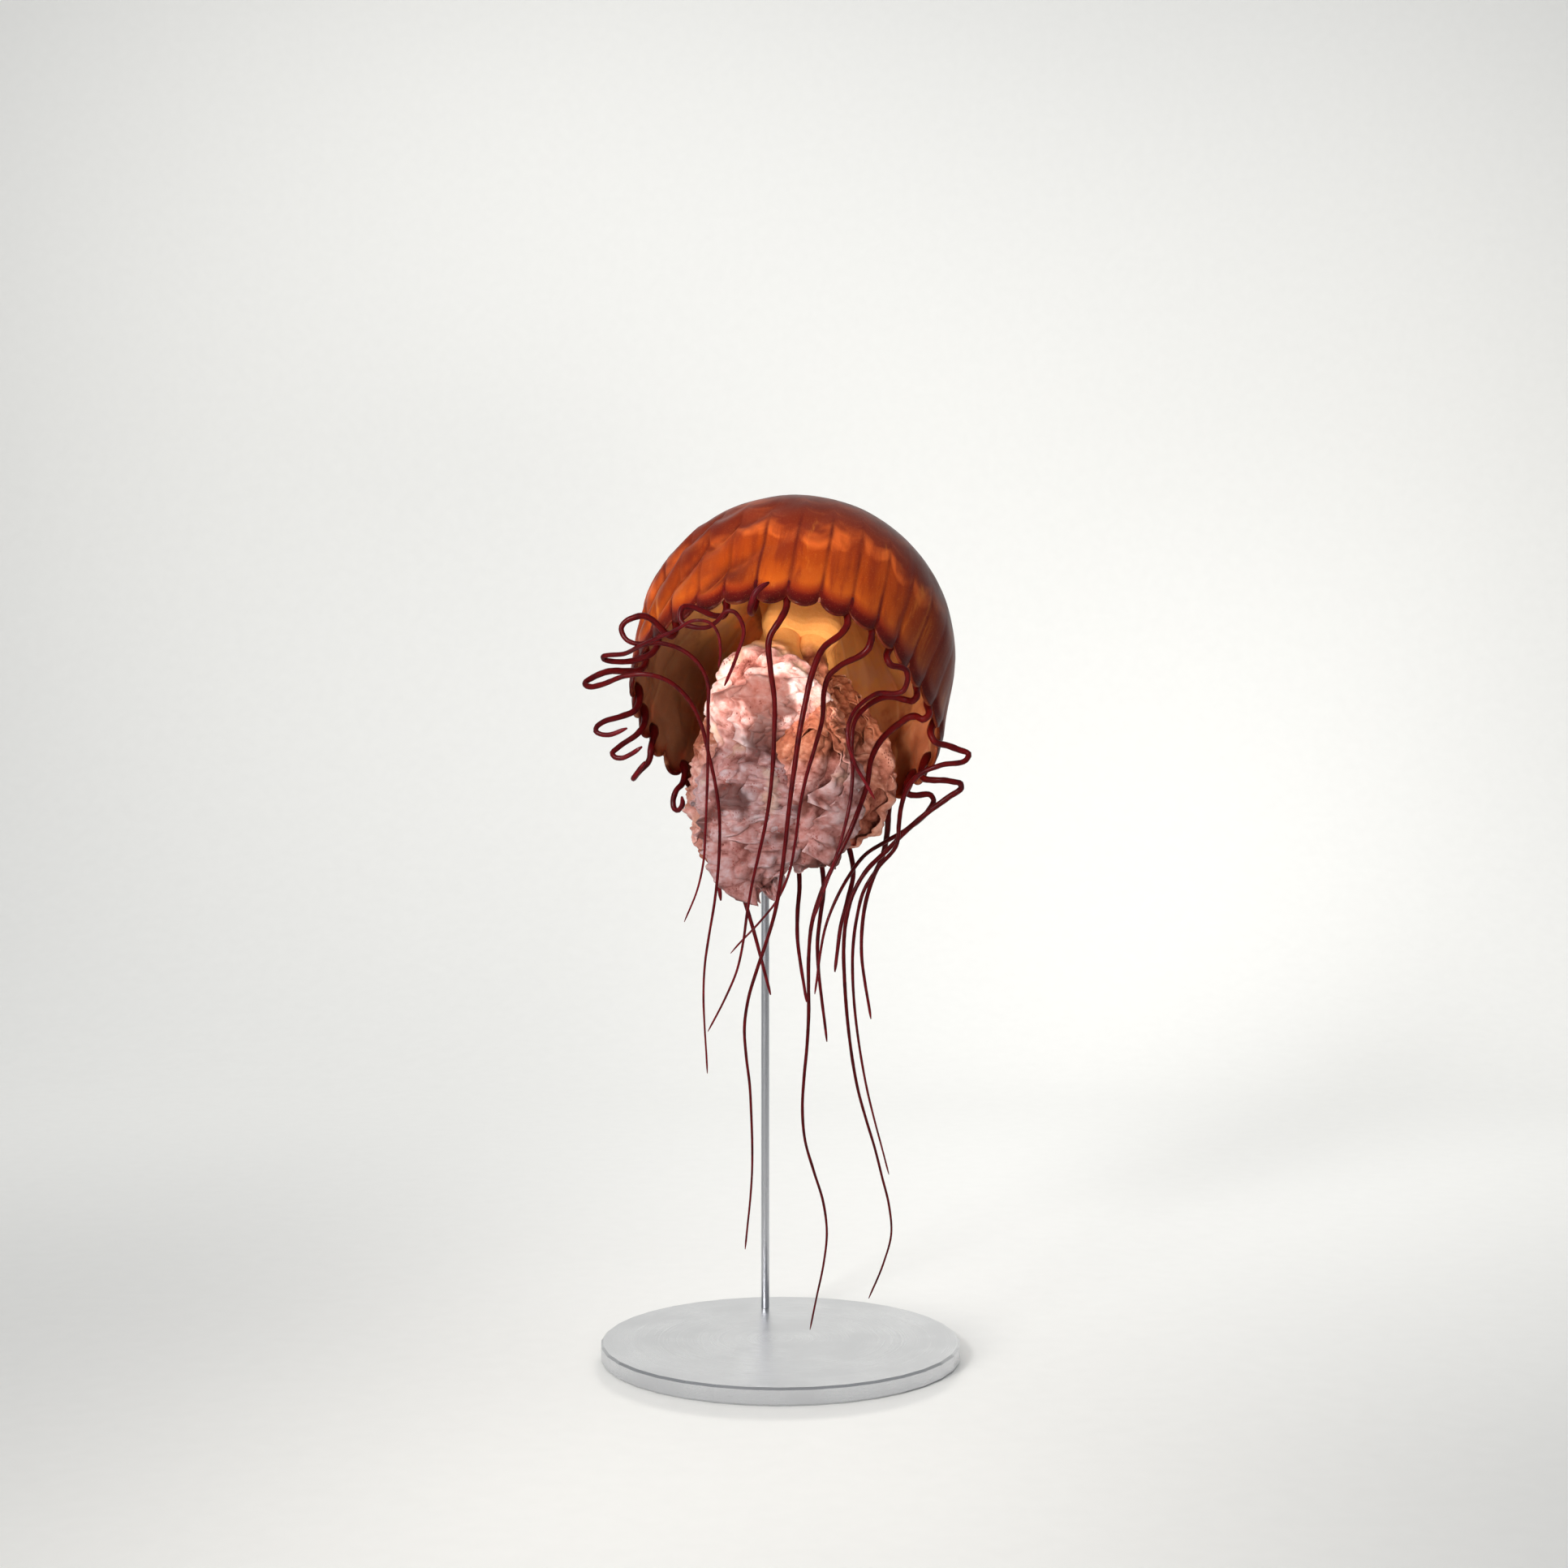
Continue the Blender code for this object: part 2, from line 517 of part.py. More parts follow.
def straightest(tube, share):
    """The station near this share of the tube where it bends least, so that cut ends stay square."""
    nominal = round(share * (len(tube) - 1))
    nearby = range(max(nominal - CUT_SEARCH, 1), min(nominal + CUT_SEARCH + 1, len(tube) - 1))
    return min(nearby, key=lambda index: bend_at(tube, index))


def build_tentacle(number, notch, collection, material):
    """One tentacle, in one to three lengths that meet end to end."""
    stations = stations_on(tentacle_curve(notch))
    length = stations[-1][1]
    most = len(TENTACLE_NODE_LETTERS)
    pieces = min(max(round(length / TENTACLE_LENGTH_OF_ONE_NODE), 1), most)
    tube = [(point, tentacle_radius(distance, length)) for point, distance in stations]
    cuts = [0, *(straightest(tube, piece / pieces) for piece in range(1, pieces)), len(tube) - 1]
    for index, (start, end) in enumerate(zip(cuts, cuts[1:])):
        part = tube[start:end + 1]
        if index:
            point, radius = part[0]
            clearance = CUT_GAP + radius * math.tan(bend_at(tube, start))
            part[0] = (point + (part[1][0] - point).normalized() * clearance, radius)
        letter = TENTACLE_NODE_LETTERS[index]
        build_tube(f"tentacle_{number:02d}_{letter}", part, collection, material)


def build_tentacles(collection, material):
    notches = [n for n in range(LAPPETS) if n % SENSE_ORGAN_EVERY != SENSE_ORGAN_EVERY - 1]
    for number, notch in enumerate(notches, start=1):
        build_tentacle(number, notch, collection, material)


def pad_place():
    """Where the pad meets the bell, and the outward direction of the bell's wall there."""
    touch = bell_point(PAD_AZIMUTH, 1.0, PAD_HEIGHT)
    outwards = (bell_point(PAD_AZIMUTH, 2.0, 0.0) - bell_point(PAD_AZIMUTH, 1.0, 0.0)).normalized()
    return touch, outwards


def build_stand(collection, metal):
    """A round base, a rod that bends up to the bell's wall, and the pad that meets the wall."""
    mesh = bmesh.new()
    bmesh.ops.create_cone(mesh, cap_ends=True, segments=BASE_SIDES, radius1=BASE_RADIUS,
                          radius2=BASE_RADIUS, depth=BASE_THICKNESS)
    base = add_object("stand_base", finish_mesh(mesh, "stand_base"), collection, metal)
    base.location.z = BASE_THICKNESS / 2
    bevel = base.modifiers.new("edge", "BEVEL")
    bevel.width = BASE_EDGE_BEVEL
    bevel.segments = 1
    bevel.limit_method = "ANGLE"

    touch, outwards = pad_place()
    mesh = bmesh.new()
    bmesh.ops.create_cone(mesh, cap_ends=True, segments=PAD_SIDES, radius1=PAD_RADIUS,
                          radius2=PAD_RADIUS, depth=PAD_THICKNESS)
    pad = add_object("stand_pad", finish_mesh(mesh, "stand_pad"), collection, metal)
    pad.rotation_mode = "QUATERNION"
    pad.rotation_quaternion = outwards.to_track_quat("Z", "Y")
    pad.location = touch + outwards * (GAP + PAD_THICKNESS / 2)

    # The rod: straight up, then a round bend until it points at the pad.
    top = touch + outwards * (2 * GAP + PAD_THICKNESS)
    level = Vector((outwards.x, outwards.y, 0.0)).normalized()
    bend = math.pi / 2 - math.asin(-outwards.z)
    end = top + outwards * ROD_LEAD
    reach = ROD_BEND_RADIUS * (1.0 - math.cos(bend))
    climb = ROD_BEND_RADIUS * math.sin(bend)
    foot = Vector((end.x + level.x * reach, end.y + level.y * reach, BASE_THICKNESS + GAP))
    start = Vector((foot.x, foot.y, end.z - climb))
    points = [foot]
    for step in range(ROD_BEND_STEPS + 1):
        angle = bend * step / ROD_BEND_STEPS
        inwards = ROD_BEND_RADIUS * (1.0 - math.cos(angle))
        up = ROD_BEND_RADIUS * math.sin(angle)
        points.append(start - level * inwards + Vector((0.0, 0.0, up)))
    points.append(top)
    rod = build_tube("stand_rod", [(point, ROD_RADIUS) for point in points], collection, metal)
    rod.data.bevel_resolution = ROD_BEVEL_RESOLUTION


def main():
    clear_scene()
    collection = make_collection("sea_nettle")
    bell = make_material("bell", (0.42, 0.11, 0.025), 0.30)
    margin = make_material("margin", (0.10, 0.012, 0.008), 0.35)
    mouth = make_material("oral_arms", (0.60, 0.30, 0.24), 0.45)
    tentacle = make_material("tentacles", (0.07, 0.008, 0.010), 0.35)
    metal = make_material("stand", (0.62, 0.63, 0.65), 0.35, 1.0)
    build_bell_dome(collection, bell)
    build_bell_margin(collection, margin)
    build_manubrium(collection, bell)
    for name, (azimuth, stations) in ORAL_ARMS.items():
        build_oral_arm(name, azimuth, stations, collection, mouth)
    build_tentacles(collection, tentacle)
    build_stand(collection, metal)


main()
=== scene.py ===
"""Looks of the life-size sea nettle model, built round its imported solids.

One skin replaces every flesh node: bell, margin, manubrium, the arms' cores and the tentacles. The
thin frills of the oral arms are folded sheets over it, one piece to an arm. The stand keeps its
solids. Lengths are metres; the bell's own are in bell radii, as in the solids.
"""

from math import cos, pi, radians, sin

import bmesh
import bpy
import numpy as np
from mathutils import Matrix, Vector


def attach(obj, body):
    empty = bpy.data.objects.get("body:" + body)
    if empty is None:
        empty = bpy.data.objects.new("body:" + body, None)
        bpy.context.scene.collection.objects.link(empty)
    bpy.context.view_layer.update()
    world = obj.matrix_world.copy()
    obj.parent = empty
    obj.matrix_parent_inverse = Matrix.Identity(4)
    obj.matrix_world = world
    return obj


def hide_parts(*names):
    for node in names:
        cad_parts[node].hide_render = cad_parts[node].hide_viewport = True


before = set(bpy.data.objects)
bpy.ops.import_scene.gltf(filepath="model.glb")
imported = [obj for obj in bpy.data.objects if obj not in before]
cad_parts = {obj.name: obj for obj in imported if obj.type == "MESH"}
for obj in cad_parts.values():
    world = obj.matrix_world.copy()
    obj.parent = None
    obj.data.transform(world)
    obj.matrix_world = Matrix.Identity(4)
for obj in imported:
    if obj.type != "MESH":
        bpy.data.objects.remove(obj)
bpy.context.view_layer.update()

# The bell, as in the solids.
BELL_RADIUS = 0.110
BELL_LEAN_BACK = radians(41.0)
BELL_LEAN_SIDE = radians(10.0)
BELL_DEPTH = 1.48
WAIST_HEIGHT = 0.49
DOME_HEIGHT = BELL_DEPTH - WAIST_HEIGHT
APEX_THICKNESS = 0.135
MARGIN_THICKNESS = 0.022
WALL_TAPER = 1.6
LAPPETS = 32
LAPPET_DROP = 0.055
MARGIN_PULLS = ((radians(35.0), radians(28.0), 0.10),
                (radians(205.0), radians(30.0), 0.035))
PULL_FADE_HEIGHT = 0.50
RIM_CENTRE = np.array([0.004, -0.042, 0.448])
FIRST_NOTCH_AZIMUTH = radians(6.5)
SENSE_ORGAN_EVERY = 4
TENTACLE_ROOT_INSET = 0.0485
TENTACLE_ROOT_HEIGHT = 0.035
TENTACLE_SIDES = 6
ARM_SIDES = 14
ARM_ROOTS = {"front_left": radians(135.0), "front_right": radians(45.0),
             "back_left": radians(225.0), "back_right": radians(315.0)}
ARM_ROOT_OFFSET = 0.148
ARM_ROOT_HEIGHT = 0.60

# Camera: level, in front of the model.
CAMERA_PLACE = (0.0024, -1.518, 0.3985)
CAMERA_LENS = 50.0
CAMERA_SENSOR = 36.0

PLANE_WAVES = 10


def srgb(red, green, blue):
    """Linear RGBA of a colour given as 0-255 sRGB."""
    shares = (channel / 255.0 for channel in (red, green, blue))
    linear = (s / 12.92 if s <= 0.04045 else ((s + 0.055) / 1.055) ** 2.4 for s in shares)
    return (*linear, 1.0)


def smooth_step(low, high, value):
    share = np.clip((value - low) / (high - low), 0.0, 1.0)
    return share * share * (3.0 - 2.0 * share)


def circle(count):
    return np.linspace(0.0, 2 * pi, count, endpoint=False)


def turn_between(first, second):
    """The signed angle between two azimuths, of at most half a turn."""
    return (second - first + pi) % (2 * pi) - pi


def unit(vectors):
    return vectors / np.linalg.norm(vectors, axis=-1, keepdims=True)


def stacked(*parts):
    """Vectors of the parts, which are spread to one shape first."""
    return np.stack(np.broadcast_arrays(*parts), axis=-1)


def waves(place, scale, seed):
    """Smooth noise of about -1 to 1: the mean of plane waves in random directions."""
    draw = np.random.default_rng(seed)
    directions = draw.normal(size=(PLANE_WAVES, place.shape[-1]))
    phases = draw.uniform(0.0, 2 * pi, PLANE_WAVES)
    return 2.0 * np.sin(place @ directions.T * scale + phases).mean(axis=-1)


def puffs(place, seed):
    """Crumpled noise of -1 to 1, with narrow creases between round puffs."""
    return 2.0 * np.minimum(np.abs(waves(place, 1.0, seed)) * 1.3, 1.0) ** 0.75 - 1.0


# ---------------- shapes in the bell's own frame

def bell_axes():
    """Unit vectors of the bell: to its right, to its front along the rim plane, and to its apex."""
    apex = np.array([sin(BELL_LEAN_SIDE) * cos(BELL_LEAN_BACK),
                     sin(BELL_LEAN_BACK),
                     cos(BELL_LEAN_SIDE) * cos(BELL_LEAN_BACK)])
    towards_front = np.array([0.0, -1.0, 0.0])
    front = unit(towards_front - apex * apex.dot(towards_front))
    return np.cross(apex, front), front, apex


RIGHT, FRONT, APEX = bell_axes()


def bell_point(azimuth, radius, height):
    """World positions from cylindrical bell coordinates, as arrays of any one shape."""
    azimuth, radius, height = np.broadcast_arrays(azimuth, radius, height)
    radial = RIGHT * np.cos(azimuth)[..., None] + FRONT * np.sin(azimuth)[..., None]
    return RIM_CENTRE + BELL_RADIUS * (radial * radius[..., None] + APEX * height[..., None])


def margin_pull(azimuth, height):
    """How far the wall is drawn inwards at this azimuth and height, in bell radii."""
    pull = 0.0
    for centre, half_width, depth in MARGIN_PULLS:
        away = turn_between(centre, azimuth)
        pull = pull + depth * np.exp(-((away / half_width) ** 2))
    return pull * smooth_step(0.0, 1.0, 1.0 - height / PULL_FADE_HEIGHT)


def wall_thickness(height):
    rise = np.clip(height / BELL_DEPTH, 0.0, 1.0)
    return MARGIN_THICKNESS + (APEX_THICKNESS - MARGIN_THICKNESS) * rise ** WALL_TAPER


def notch_azimuth(notch):
    return FIRST_NOTCH_AZIMUTH + 2 * pi * notch / LAPPETS


# ---------------- meshes put together from grids

# Only the bell's pigment follows a flow.
NO_FLOW = np.zeros(3)


def add_object(name, data):
    made = bpy.data.objects.new(name, data)
    bpy.context.scene.collection.objects.link(made)
    return made


class Surface:
    """A mesh made of grids of points. Each grid has a material, marks that drive its pigment, and
    a patch of the unwrap: a corner, a step along its rows and a step across them."""

    def __init__(self, name):
        self.name = name
        self.points, self.flow, self.marks = [], [], []
        self.faces, self.slots, self.corners = [], [], []
        self.count = 0

    def add_points(self, points, flow, marks):
        first = self.count
        for kept, values in ((self.points, points), (self.flow, flow), (self.marks, marks)):
            kept.append(np.broadcast_to(values, points.shape).reshape(-1, 3))
        self.count += len(self.points[-1])
        return first

    def add_faces(self, faces, slot, corners):
        self.faces += faces.tolist()
        self.slots += [slot] * len(faces)
        self.corners.append(corners.reshape(-1, 2))

    def add_grid(self, points, marks, slot, patch, flow=NO_FLOW, flat_ends=False):
        """Rows of points that each close round on themselves. A fan closes each end row, or, where
        the rows are flat like a folded sheet's, a strip from their first half to their second."""
        rows, columns = points.shape[:2]
        first = self.add_points(points, flow, marks)
        row, column = np.meshgrid(np.arange(rows - 1), np.arange(columns), indexing="ij")
        after = (column + 1) % columns
        quads = stacked(row * columns + column, row * columns + after,
                        (row + 1) * columns + after, (row + 1) * columns + column)
        along = stacked(row, row, row + 1, row + 1) / (rows - 1)
        across = stacked(column, column + 1, column + 1, column) / columns
        self.add_faces(first + quads.reshape(-1, 4), slot, self.unwrap(along, across, patch))
        for end, share in ((0, 0.0), (rows - 1, 1.0)):
            if flat_ends:
                self.add_seam(first + end * columns, columns, share, slot, patch)
            else:
                self.add_fan(points, flow, marks, first, end, share, slot, patch)

    def add_seam(self, ring, columns, share, slot, patch):
        column = np.arange(columns // 2 - 1)
        strip = stacked(column, column + 1, columns - 2 - column, columns - 1 - column)
        corners = self.unwrap(np.full(strip.shape, share), strip / columns, patch)
        self.add_faces(ring + strip, slot, corners)

    def add_fan(self, points, flow, marks, first, end, share, slot, patch):
        columns = points.shape[1]
        pole = self.add_points(*(np.broadcast_to(values, points.shape)[end].mean(axis=0)[None]
                                 for values in (points, flow, marks)))
        column = np.arange(columns)
        ring = first + end * columns
        fan = stacked(ring + column, ring + (column + 1) % columns, pole)
        across = stacked(column, column + 1, column + 0.5) / columns
        self.add_faces(fan, slot, self.unwrap(np.full_like(across, share), across, patch))

    @staticmethod
    def unwrap(along, across, patch):
        corner, step_along, step_across = (np.array(part) for part in patch)
        return corner + along[..., None] * step_along + across[..., None] * step_across

    def build(self, materials):
        data = bpy.data.meshes.new(self.name)
        data.from_pydata(np.concatenate(self.points).tolist(), [], self.faces)
        for material in materials:
            data.materials.append(material)
        data.polygons.foreach_set("material_index", self.slots)
        for name, values in (("flow", self.flow), ("marks", self.marks)):
            attribute = data.attributes.new(name, "FLOAT_VECTOR", "POINT")
            attribute.data.foreach_set("vector", np.concatenate(values).astype(np.float32).ravel())
        unwrap = data.uv_layers.new(name="OFBake")
        unwrap.uv.foreach_set("vector", np.concatenate(self.corners).astype(np.float32).ravel())
        mesh = bmesh.new()
        mesh.from_mesh(data)
        bmesh.ops.recalc_face_normals(mesh, faces=mesh.faces)
        mesh.to_mesh(data)
        mesh.free()
        data.shade_smooth()
        return add_object(self.name, data)


# ---------------- lines read from the solids

SAME_POINT = 1e-5


def rings_of(node, start, sides):
    """The rings of a tube-like solid, in order from the one nearest to start."""
    mesh = bmesh.new()
    mesh.from_mesh(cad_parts[node].data)
    bmesh.ops.remove_doubles(mesh, verts=mesh.verts, dist=SAME_POINT)
    mesh.verts.ensure_lookup_table()
    start = Vector(start)
    nearest = sorted(mesh.verts, key=lambda vertex: (vertex.co - start).length)
    ring = sorted(vertex.index for vertex in nearest[:sides])
    seen = set()
    rings = []
    while ring:
        rings.append(np.array([mesh.verts[index].co for index in ring]))
        seen.update(ring)
        beside = {edge.other_vert(mesh.verts[index]).index
                  for index in ring for edge in mesh.verts[index].link_edges}
        ring = sorted(beside - seen)
    mesh.free()
    return rings


def smooth_through(knots, values, places):
    """The values at places along the knots, on a smooth curve through all of them."""
    slopes = np.gradient(values, knots, axis=0)
    index = np.clip(np.searchsorted(knots, places, side="right") - 1, 0, len(knots) - 2)
    width = (knots[index + 1] - knots[index])[:, None]
    t = (places - knots[index])[:, None] / width
    return (values[index] * (2 * t ** 3 - 3 * t ** 2 + 1)
            + values[index + 1] * (3 * t ** 2 - 2 * t ** 3)
            + slopes[index] * width * (t ** 3 - 2 * t ** 2 + t)
            + slopes[index + 1] * width * (t ** 3 - t ** 2))


def distances(points):
    steps = np.linalg.norm(np.diff(points, axis=0), axis=1)
    return np.concatenate([[0.0], np.cumsum(steps)])


def resample(points, values, step):
    """Points a step apart on a smooth line through the points, their values and their distances."""
    knots = distances(points)
    places = np.linspace(0.0, knots[-1], max(int(knots[-1] / step), 4))
    return smooth_through(knots, points, places), smooth_through(knots, values, places), places


def sides_along(points, side):
    """Two unit vectors across a line at each of its points, carried along it without twist."""
    along = unit(np.gradient(points, axis=0))
    sides = []
    for direction in along:
        side = unit(side - direction * direction.dot(side))
        sides.append(side)
    return np.array(sides), np.cross(along, sides)


# ---------------- bell

BELL_COLUMNS = 12 * LAPPETS
BELL_PATCH = ((0.0, 0.0), (0.0, 0.42), (1.0, 0.0))
DOME_ROWS = 34
SMALLEST_RING = radians(88.5)
WALL_ROWS = 15
WALL_ROW_CROWDING = 1.4
# How far round the edge from the outer face to the inner one each of its rows lies.
EDGE_SHARES = (0.25, 0.50, 0.75)
EDGE_CURL = 0.016
SHALLOW_NOTCH = 0.014
DEEP_NOTCH = 0.030
LAPPET_UNEVENNESS = 0.14

# Relief of the outer face.
FURROW_DEPTH = 0.006
QUILT_HEIGHT = 0.006
BROAD_WAVES = 0.008
SMALL_WAVES = 0.0035
FOLDS_CENTRE = radians(142.0)
FOLDS_HALF_WIDTH = radians(34.0)
FOLDS_PER_RADIAN = 8.0
FOLD_SLANT = 8.0
FOLD_HEIGHT = 0.044
FOLD_MIDDLE = 0.6
# Strength of the painted shade on every second fold.
FOLD_PAINTED_SHADE = 0.90

# Relief of the inner face.
SEPTA = 16
POUCH_DEPTH = 0.024
BROAD_LUMPS = 0.024
SMALL_LUMPS = 0.010
MUSCLE_RING_HEIGHT = 0.0012
MUSCLE_RING_WAVES = 170.0
DEEPEST_INNER_FACE = 2.4

ORGAN_LENGTH = 0.0048
ORGAN_WIDTH = 0.0026
ORGAN_RADIUS = 0.972
ORGAN_HEIGHT = 0.018
ORGAN_MARKS = (0.10, 1.0, 0.5)
ORGAN_ROWS = 9
ORGAN_COLUMNS = 12
ORGAN_END_ANGLE = 0.05


def lappet_phase(azimuth):
    """The number of the lappet at this azimuth. Its fraction runs from one notch to the next."""
    return (azimuth - FIRST_NOTCH_AZIMUTH) * LAPPETS / (2 * pi)


def lappet_fullness(azimuth):
    """0 at a notch, rising to 1 on the round body of a lappet."""
    return np.sin(pi * (lappet_phase(azimuth) % 1.0)) ** 0.6


def septum_distance(azimuth):
    """0 on a septum, rising to 1 half way to the next."""
    return np.abs(np.sin(pi * (azimuth - FIRST_NOTCH_AZIMUTH) * SEPTA / (2 * pi)))


def edge_height(azimuth):
    """Height of the scalloped edge. The notches that hold a sense organ are cut deeper."""
    fullness = lappet_fullness(azimuth)
    phase = lappet_phase(azimuth)
    holds_organ = np.round(phase) % SENSE_ORGAN_EVERY == SENSE_ORGAN_EVERY - 1
    notch = np.where(holds_organ, DEEP_NOTCH, SHALLOW_NOTCH)
    vary = 1.0 + LAPPET_UNEVENNESS * np.sin(3.1 * np.floor(phase) + 0.7)
    return -LAPPET_DROP * vary * fullness + notch * (1.0 - fullness)


def side_folds(azimuth, path, flow):
    """The slanting folds on the bell's left: where they are, their height from 0 to 1, and the
    painted shade on every second one, which stands in for its shaded side."""
    away = turn_between(FOLDS_CENTRE, azimuth)
    where = np.minimum(1.6 * np.exp(-((away / FOLDS_HALF_WIDTH) ** 2)), 1.0)
    where = where * smooth_step(0.04, 0.16, path) * (1.0 - smooth_step(0.65, 1.05, path))
    bends = 0.9 * waves(flow, 2.2, 12)
    swing = np.sin(FOLDS_PER_RADIAN * azimuth + FOLD_SLANT * path + bends)
    return where, np.abs(swing) ** 0.8, smooth_step(0.05, 0.75, -swing)


def outer_relief(azimuth, path, flow):
    """Outward swelling of the outer face: furrows, soft waves, and folds on the left."""
    fullness = lappet_fullness(azimuth)
    furrow = -FURROW_DEPTH * (1.0 - fullness) * (1.0 - smooth_step(0.05, 0.95, path))
    quilt = QUILT_HEIGHT * fullness * (1.0 - smooth_step(0.0, 0.30, path))
    soft = BROAD_WAVES * waves(flow, 1.7, 11) + SMALL_WAVES * waves(flow, 8.0, 15)
    soft = soft * smooth_step(0.05, 0.4, path)
    where, fold, _ = side_folds(azimuth, path, flow)
    return furrow + quilt + soft + FOLD_HEIGHT * where * (fold - FOLD_MIDDLE)


def inner_relief(azimuth, path, flow):
    """Inward swelling of the inner face: 16 pouches between thin septa, lumps and muscle rings."""
    pouch = POUCH_DEPTH * septum_distance(azimuth) ** 0.7
    reach = smooth_step(0.04, 0.22, path) * (1.0 - smooth_step(1.25, 1.6, path))
    rings = MUSCLE_RING_HEIGHT * np.sin(path * MUSCLE_RING_WAVES + 1.5 * waves(flow, 3.0, 14))
    lumps = BROAD_LUMPS * waves(flow, 9.0, 13) + SMALL_LUMPS * waves(flow, 22.0, 16)
    return (pouch + rings + lumps) * reach


def bell_rows():
    """Rows of the outer face, from the apex down to the edge: their azimuths, radius and height,
    the upward share of the outward normal, and the path up the face from the edge."""
    azimuth = notch_azimuth(np.arange(BELL_COLUMNS) * LAPPETS / BELL_COLUMNS)[None]
    edge = edge_height(azimuth)
    flat = np.zeros_like(azimuth)
    climb = np.linspace(SMALLEST_RING, 0.0, DOME_ROWS)[:, None]
    down = 1.0 - (1.0 - np.linspace(0.0, 1.0, WALL_ROWS + 1)[1:, None]) ** WALL_ROW_CROWDING
    wall_height = WAIST_HEIGHT + (edge - WAIST_HEIGHT) * down
    radius = np.concatenate([np.cos(climb) + flat, np.ones_like(wall_height)])
    height = np.concatenate([WAIST_HEIGHT + DOME_HEIGHT * np.sin(climb) + flat, wall_height])
    upwards = np.concatenate([np.sin(climb) + flat, np.zeros_like(wall_height)])
    path = np.concatenate([WAIST_HEIGHT - edge + climb, wall_height - edge])
    return azimuth, radius, height, upwards, path


def bell_marks(azimuth, path, flow):
    """Marks of the outer and the inner face: the path from the edge, 1 on the inner face, and how
    far each point is from a furrow, a fold or a septum, from 0 to 1. The painted shade of every
    second fold counts as a crease here."""
    where, fold, dark = side_folds(azimuth, path, flow)
    # A crease here also carries the painted shade of every second fold.
    crease_and_fold_shade = where * np.maximum((1.0 - fold) ** 0.7, FOLD_PAINTED_SHADE * dark)
    ridge = np.minimum(lappet_fullness(azimuth), 1.0 - crease_and_fold_shade)
    return stacked(path, 0.0, ridge), stacked(path, 1.0, septum_distance(azimuth))


def add_bell(skin, slot):
    """The umbrella as one closed shell: down its outer face, round the lappets, up its inner."""
    azimuth, radius, height, upwards, path = bell_rows()
    # The outward share of the normal is the same number as the radius, on the dome and the wall.
    outwards = radius
    flow = stacked(np.cos(azimuth), np.sin(azimuth), path)
    curl = EDGE_CURL * (1.0 - smooth_step(0.0, 0.10, path)) ** 2
    pull = margin_pull(azimuth, np.maximum(height, 0.0)) + curl
    swell = outer_relief(azimuth, path, flow) * smooth_step(2.2, 1.6, path)
    thick = wall_thickness(height) * smooth_step(-0.25, 0.10, path)
    sunk = np.minimum(thick + inner_relief(azimuth, path, flow), DEEPEST_INNER_FACE * thick)
    outer = bell_point(azimuth, radius - pull + outwards * swell, height + upwards * swell)
    inner = bell_point(azimuth, radius - pull - outwards * sunk, height - upwards * sunk)

    # The rounded edge, from the lowest outer row to the lowest inner row.
    middle = (outer[-1] + inner[-1]) / 2
    half = (outer[-1] - inner[-1]) / 2
    drop = -APEX * np.linalg.norm(half, axis=-1, keepdims=True)
    turns = [pi * share for share in EDGE_SHARES]
    rim = np.stack([middle + half * cos(turn) + drop * sin(turn) for turn in turns])
    rim_flow = np.broadcast_to(flow[-1], rim.shape)
    outer_marks, inner_marks = bell_marks(azimuth, path, flow)
    rim_marks = np.stack([outer_marks[-1] * (1.0 - share) + inner_marks[-1] * share
                          for share in EDGE_SHARES])

    skin.add_grid(np.concatenate([outer, rim, inner[::-1]]),
                  np.concatenate([outer_marks, rim_marks, inner_marks[::-1]]), slot, BELL_PATCH,
                  np.concatenate([flow, rim_flow, flow[::-1]]))


def add_sense_organs(skin, slot):
    """Eight small clubs, each in the roof of a deep notch between two lappets."""
    last_angle = pi - ORGAN_END_ANGLE
    down = np.linspace(ORGAN_END_ANGLE, last_angle, ORGAN_ROWS)[:, None, None]
    turn = circle(ORGAN_COLUMNS)[:, None]
    for index in range(LAPPETS // SENSE_ORGAN_EVERY):
        azimuth = notch_azimuth(SENSE_ORGAN_EVERY * index + SENSE_ORGAN_EVERY - 1)
        radius = ORGAN_RADIUS - margin_pull(azimuth, 0.0)
        centre = bell_point(azimuth, radius, ORGAN_HEIGHT)
        outwards = unit(bell_point(azimuth, 2.0, ORGAN_HEIGHT) - centre)
        sideways = np.cross(-APEX, outwards)
        ring = outwards * np.cos(turn) + sideways * np.sin(turn)
        points = (centre + APEX * np.cos(down) * ORGAN_LENGTH / 2
                  + ring * np.sin(down) * ORGAN_WIDTH / 2)
        patch = ((0.02 * index, 0.425), (0.0, 0.005), (0.015, 0.0))
        skin.add_grid(points, ORGAN_MARKS, slot, patch)


# ---------------- manubrium and the arms' cores

# Height above the rim plane and radius, in bell radii, from the split foot up to the roof.
MANUBRIUM_PROFILE = ((0.52, 0.225), (0.56, 0.262), (0.60, 0.270), (0.66, 0.262), (0.72, 0.250),
                     (0.80, 0.250), (0.90, 0.262), (1.00, 0.290), (1.08, 0.325), (1.16, 0.37),
                     (1.22, 0.42), (1.26, 0.48))
MANUBRIUM_ROWS = 56
MANUBRIUM_COLUMNS = 96
MANUBRIUM_CORNER_AZIMUTH = radians(45.0)
MANUBRIUM_RIBS = 20
MANUBRIUM_PATCH = ((0.0, 0.43), (0.0, 0.07), (1.0, 0.0))

CORE_COLUMNS = 72
CORE_STEP = 0.0022
CORE_SHARE = 0.80
CORE_CRUMPLING = 1.5
CORE_LOBES = 5
CORE_LOBE_HEIGHT = 0.07
CORE_SEED = 30
# An arm's line starts a little way up inside the manubrium, with a slimmer section.
ARM_START_RISE = 0.12
ARM_START_INSET = 0.9
ARM_START_SLIMNESS = 0.8
ARM_LEAST_HALF_SIZE = 0.0012
